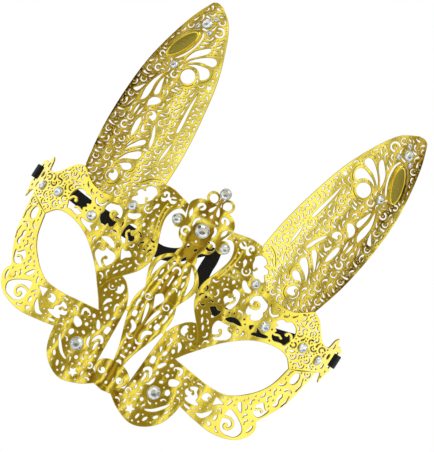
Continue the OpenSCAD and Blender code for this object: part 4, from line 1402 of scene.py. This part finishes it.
def strap_fold(side, word):
    """The end of the elastic round the bar, and the stitches that hold it."""
    c, s = math.cos(SLOPE_3), math.sin(SLOPE_3)
    middle = np.array([X_3 + 20.2 * c - 0.9 * s, Y_3 + 20.2 * s + 0.9 * c])

    def about(u, v):
        return (*(middle + (u * c - v * s, u * s + v * c)), 0)

    a, b = 1.8, 1.1
    route = [(67.4, 49.5, 0), (70.5, 49.5, 0), (73.5, 49.5, 0), about(-a, b + 0.6), about(-a, -b + 0.4),
             about(-a + 0.7, -b), about(a - 0.7, -b), about(a, -b + 0.5), about(a, b), about(0.6, b + 1.2),
             (74.2, 50.5, 0), (70.5, 50.5, 0), (67.4, 50.5, 0)]
    path = smooth_path(route, 5) * (side, 1, 1)
    obj = sweep_band(f"elastic_fold_{word}", path, np.tile((0.0, 0.0, 1.0), (len(path), 1)))
    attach(obj, "mask")
    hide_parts(f"strap_loop_{word}")
    stitches = []
    for x in (68.6, 71.6):
        for y in (48.98, 51.02):
            for k in range(7):
                z = -2.55 + 0.85 * k
                lean = 0.22 if k % 2 else -0.22
                bow = -0.1 if y < 50 else 0.1
                stitches.append([
                    (side * (x - 0.05 + 0.3 * t), y + bow * math.sin(math.pi * t), z + lean * (2 * t - 1) + 0.1)
                    for t in (0, 0.33, 0.67, 1)
                ])
    tubes(f"fold_stitches_{word}", stitches, 0.14, THREAD)


RIDGES = (
    [(17.4, 19.6), (18.0, 16.6), (17.9, 12.6), (17.0, 8.2), (15.9, 4.0)],
    [(19.5, 19.6), (19.7, 16.2), (19.3, 12.0), (18.2, 7.8), (16.8, 3.4)],
)
for side, word in SIDES:
    oval_plate(side, word)
    strap_fold(side, word)
    lines = []
    for ridge in RIDGES:
        place, _ = face_surface(smooth_path(ridge, 6))
        lines.append(place * (side, 1, 1))
    tubes(f"pressed_ridges_{word}", lines, 0.42, GOLD)

tack = []
for k in range(9):
    z = 9.9 + 0.4 * k
    for way in (-1, 1):
        tack.append([
            (5.5 + 0.62 * u, 50 + way * 1.22 * math.sqrt(max(0, 1 - u**4)), z - way * 0.1 * u)
            for u in (-1, -0.6, 0, 0.6, 1)
        ])
tubes("tack_threads", tack, 0.24, THREAD, "strap", "strap_bar_tack")

# ---------------------------------------------------------------- finish
for name, obj in NODES.items():
    obj.data.materials.clear()
    obj.data.materials.append(ELASTIC if "strap" in name else CRYSTAL if "stone" in name else GOLD)


# Colour of the studio by the angle from straight ahead of the mask: level, and looking up
LEVEL = [
    (0, (0.50, 0.42, 0.18)), (3, (0.30, 0.22, 0.06)), (6, (0.12, 0.06, 0.01)), (9, (0.60, 0.56, 0.32)),
    (12, (1.24, 1.26, 0.96)), (15, (0.34, 0.29, 0.11)), (22, (0.24, 0.19, 0.05)), (27, (1.28, 1.32, 1.02)),
    (31, (0.22, 0.17, 0.05)), (37, (1.28, 1.32, 1.04)), (44, (0.42, 0.39, 0.22)), (53, (1.20, 1.27, 1.16)),
    (70, (1.20, 1.30, 1.36)), (180, (1.20, 1.30, 1.36)),
]
RAISED = [
    (0, (1.20, 1.30, 1.34)), (30, (1.20, 1.30, 1.32)), (38, (0.58, 0.56, 0.36)), (45, (1.22, 1.28, 1.08)),
    (52, (0.38, 0.34, 0.16)), (59, (1.02, 1.00, 0.73)), (66, (0.26, 0.20, 0.06)), (72, (0.72, 0.66, 0.40)),
    (78, (0.14, 0.08, 0.01)), (82, (0.34, 0.26, 0.08)), (87, (0.04, 0.015, 0.0)), (104, (0.26, 0.20, 0.06)),
    (125, (0.96, 1.04, 1.14)), (180, (1.08, 1.16, 1.28)),
]
BRIGHTEST = 1.6
LEVEL_SHIFT, RAISED_SHIFT = 0.05, -0.06
RAISED_FROM, RAISED_TO = 0.03, 0.13


def make_world():
    world = bpy.data.worlds.new("studio")
    bpy.context.scene.world = world
    world.use_nodes = True
    tree = world.node_tree
    tree.nodes.clear()
    add, link = tree.nodes.new, tree.links.new

    def math_node(operation, *values):
        node = add("ShaderNodeMath")
        node.operation = operation
        for socket, value in zip(node.inputs, values):
            if hasattr(value, "is_linked"):
                link(value, socket)
            else:
                socket.default_value = value
        return node.outputs[0]

    def ramp(value, stops):
        return color_ramp(tree, value, [(angle / 180, [c / BRIGHTEST for c in color]) for angle, color in stops])

    coord = add("ShaderNodeTexCoord")
    split = add("ShaderNodeSeparateXYZ")
    link(coord.outputs["Generated"], split.inputs[0])
    x, y, z = split.outputs

    def turned_by(shift):
        sideways = math_node("ABSOLUTE", math_node("ADD", x, shift))
        return math_node("DIVIDE", math_node("ARCTAN2", sideways, math_node("MULTIPLY", y, -1.0)), math.pi)

    height = add("ShaderNodeMapRange")
    height.interpolation_type = "SMOOTHSTEP"
    height.inputs["From Min"].default_value = RAISED_FROM
    height.inputs["From Max"].default_value = RAISED_TO
    link(z, height.inputs["Value"])
    mix = add("ShaderNodeMix")
    mix.data_type = "RGBA"
    link(height.outputs["Result"], mix.inputs[0])
    link(ramp(turned_by(LEVEL_SHIFT), LEVEL), mix.inputs[6])
    link(ramp(turned_by(RAISED_SHIFT), RAISED), mix.inputs[7])
    soft = add("ShaderNodeBackground")
    soft.inputs["Strength"].default_value = BRIGHTEST
    link(mix.outputs[2], soft.inputs["Color"])
    plain = add("ShaderNodeBackground")
    path = add("ShaderNodeLightPath")
    plain.inputs["Color"].default_value = (1, 1, 1, 1)
    choose = add("ShaderNodeMixShader")
    link(path.outputs["Is Camera Ray"], choose.inputs[0])
    link(soft.outputs[0], choose.inputs[1])
    link(plain.outputs[0], choose.inputs[2])
    out = add("ShaderNodeOutputWorld")
    link(choose.outputs[0], out.inputs["Surface"])


def make_floor():
    size, drop_to = 3.0, -0.45
    mesh = bpy.data.meshes.new("floor")
    mesh.from_pydata(
        [(-size, -size, drop_to), (size, -size, drop_to), (size, size, drop_to), (-size, size, drop_to)],
        [],
        [(0, 1, 2, 3)],
    )
    n = Nodes("floor")
    grain = n.noise(6, 2)
    n.link(n.ramp(grain, [(0.3, (0.86, 0.86, 0.86)), (0.7, (0.88, 0.88, 0.88))]), n.bsdf.inputs["Base Color"])
    n.link(n.grey(grain, 0.85, 0.9), n.bsdf.inputs["Roughness"])
    add_object("floor", mesh, [n.mat])


LAMP_SIZE, LAMP_POWER = 0.7, 6
LAMP_AIM = (0, 0, 0.02)


def make_light(name, place):
    data = bpy.data.lights.new(name, "AREA")
    data.shape = "RECTANGLE"
    data.size = data.size_y = LAMP_SIZE
    data.energy = LAMP_POWER
    obj = bpy.data.objects.new(name, data)
    bpy.context.scene.collection.objects.link(obj)
    aim = Vector(LAMP_AIM) - Vector(place)
    obj.matrix_world = Matrix.Translation(place) @ aim.to_track_quat("-Z", "Y").to_matrix().to_4x4()


make_world()
make_floor()
make_light("soft_left", (-0.8, -0.9, 1.5))
make_light("soft_right", (0.9, -0.7, 1.5))
bpy.context.scene.view_settings.view_transform = "Standard"
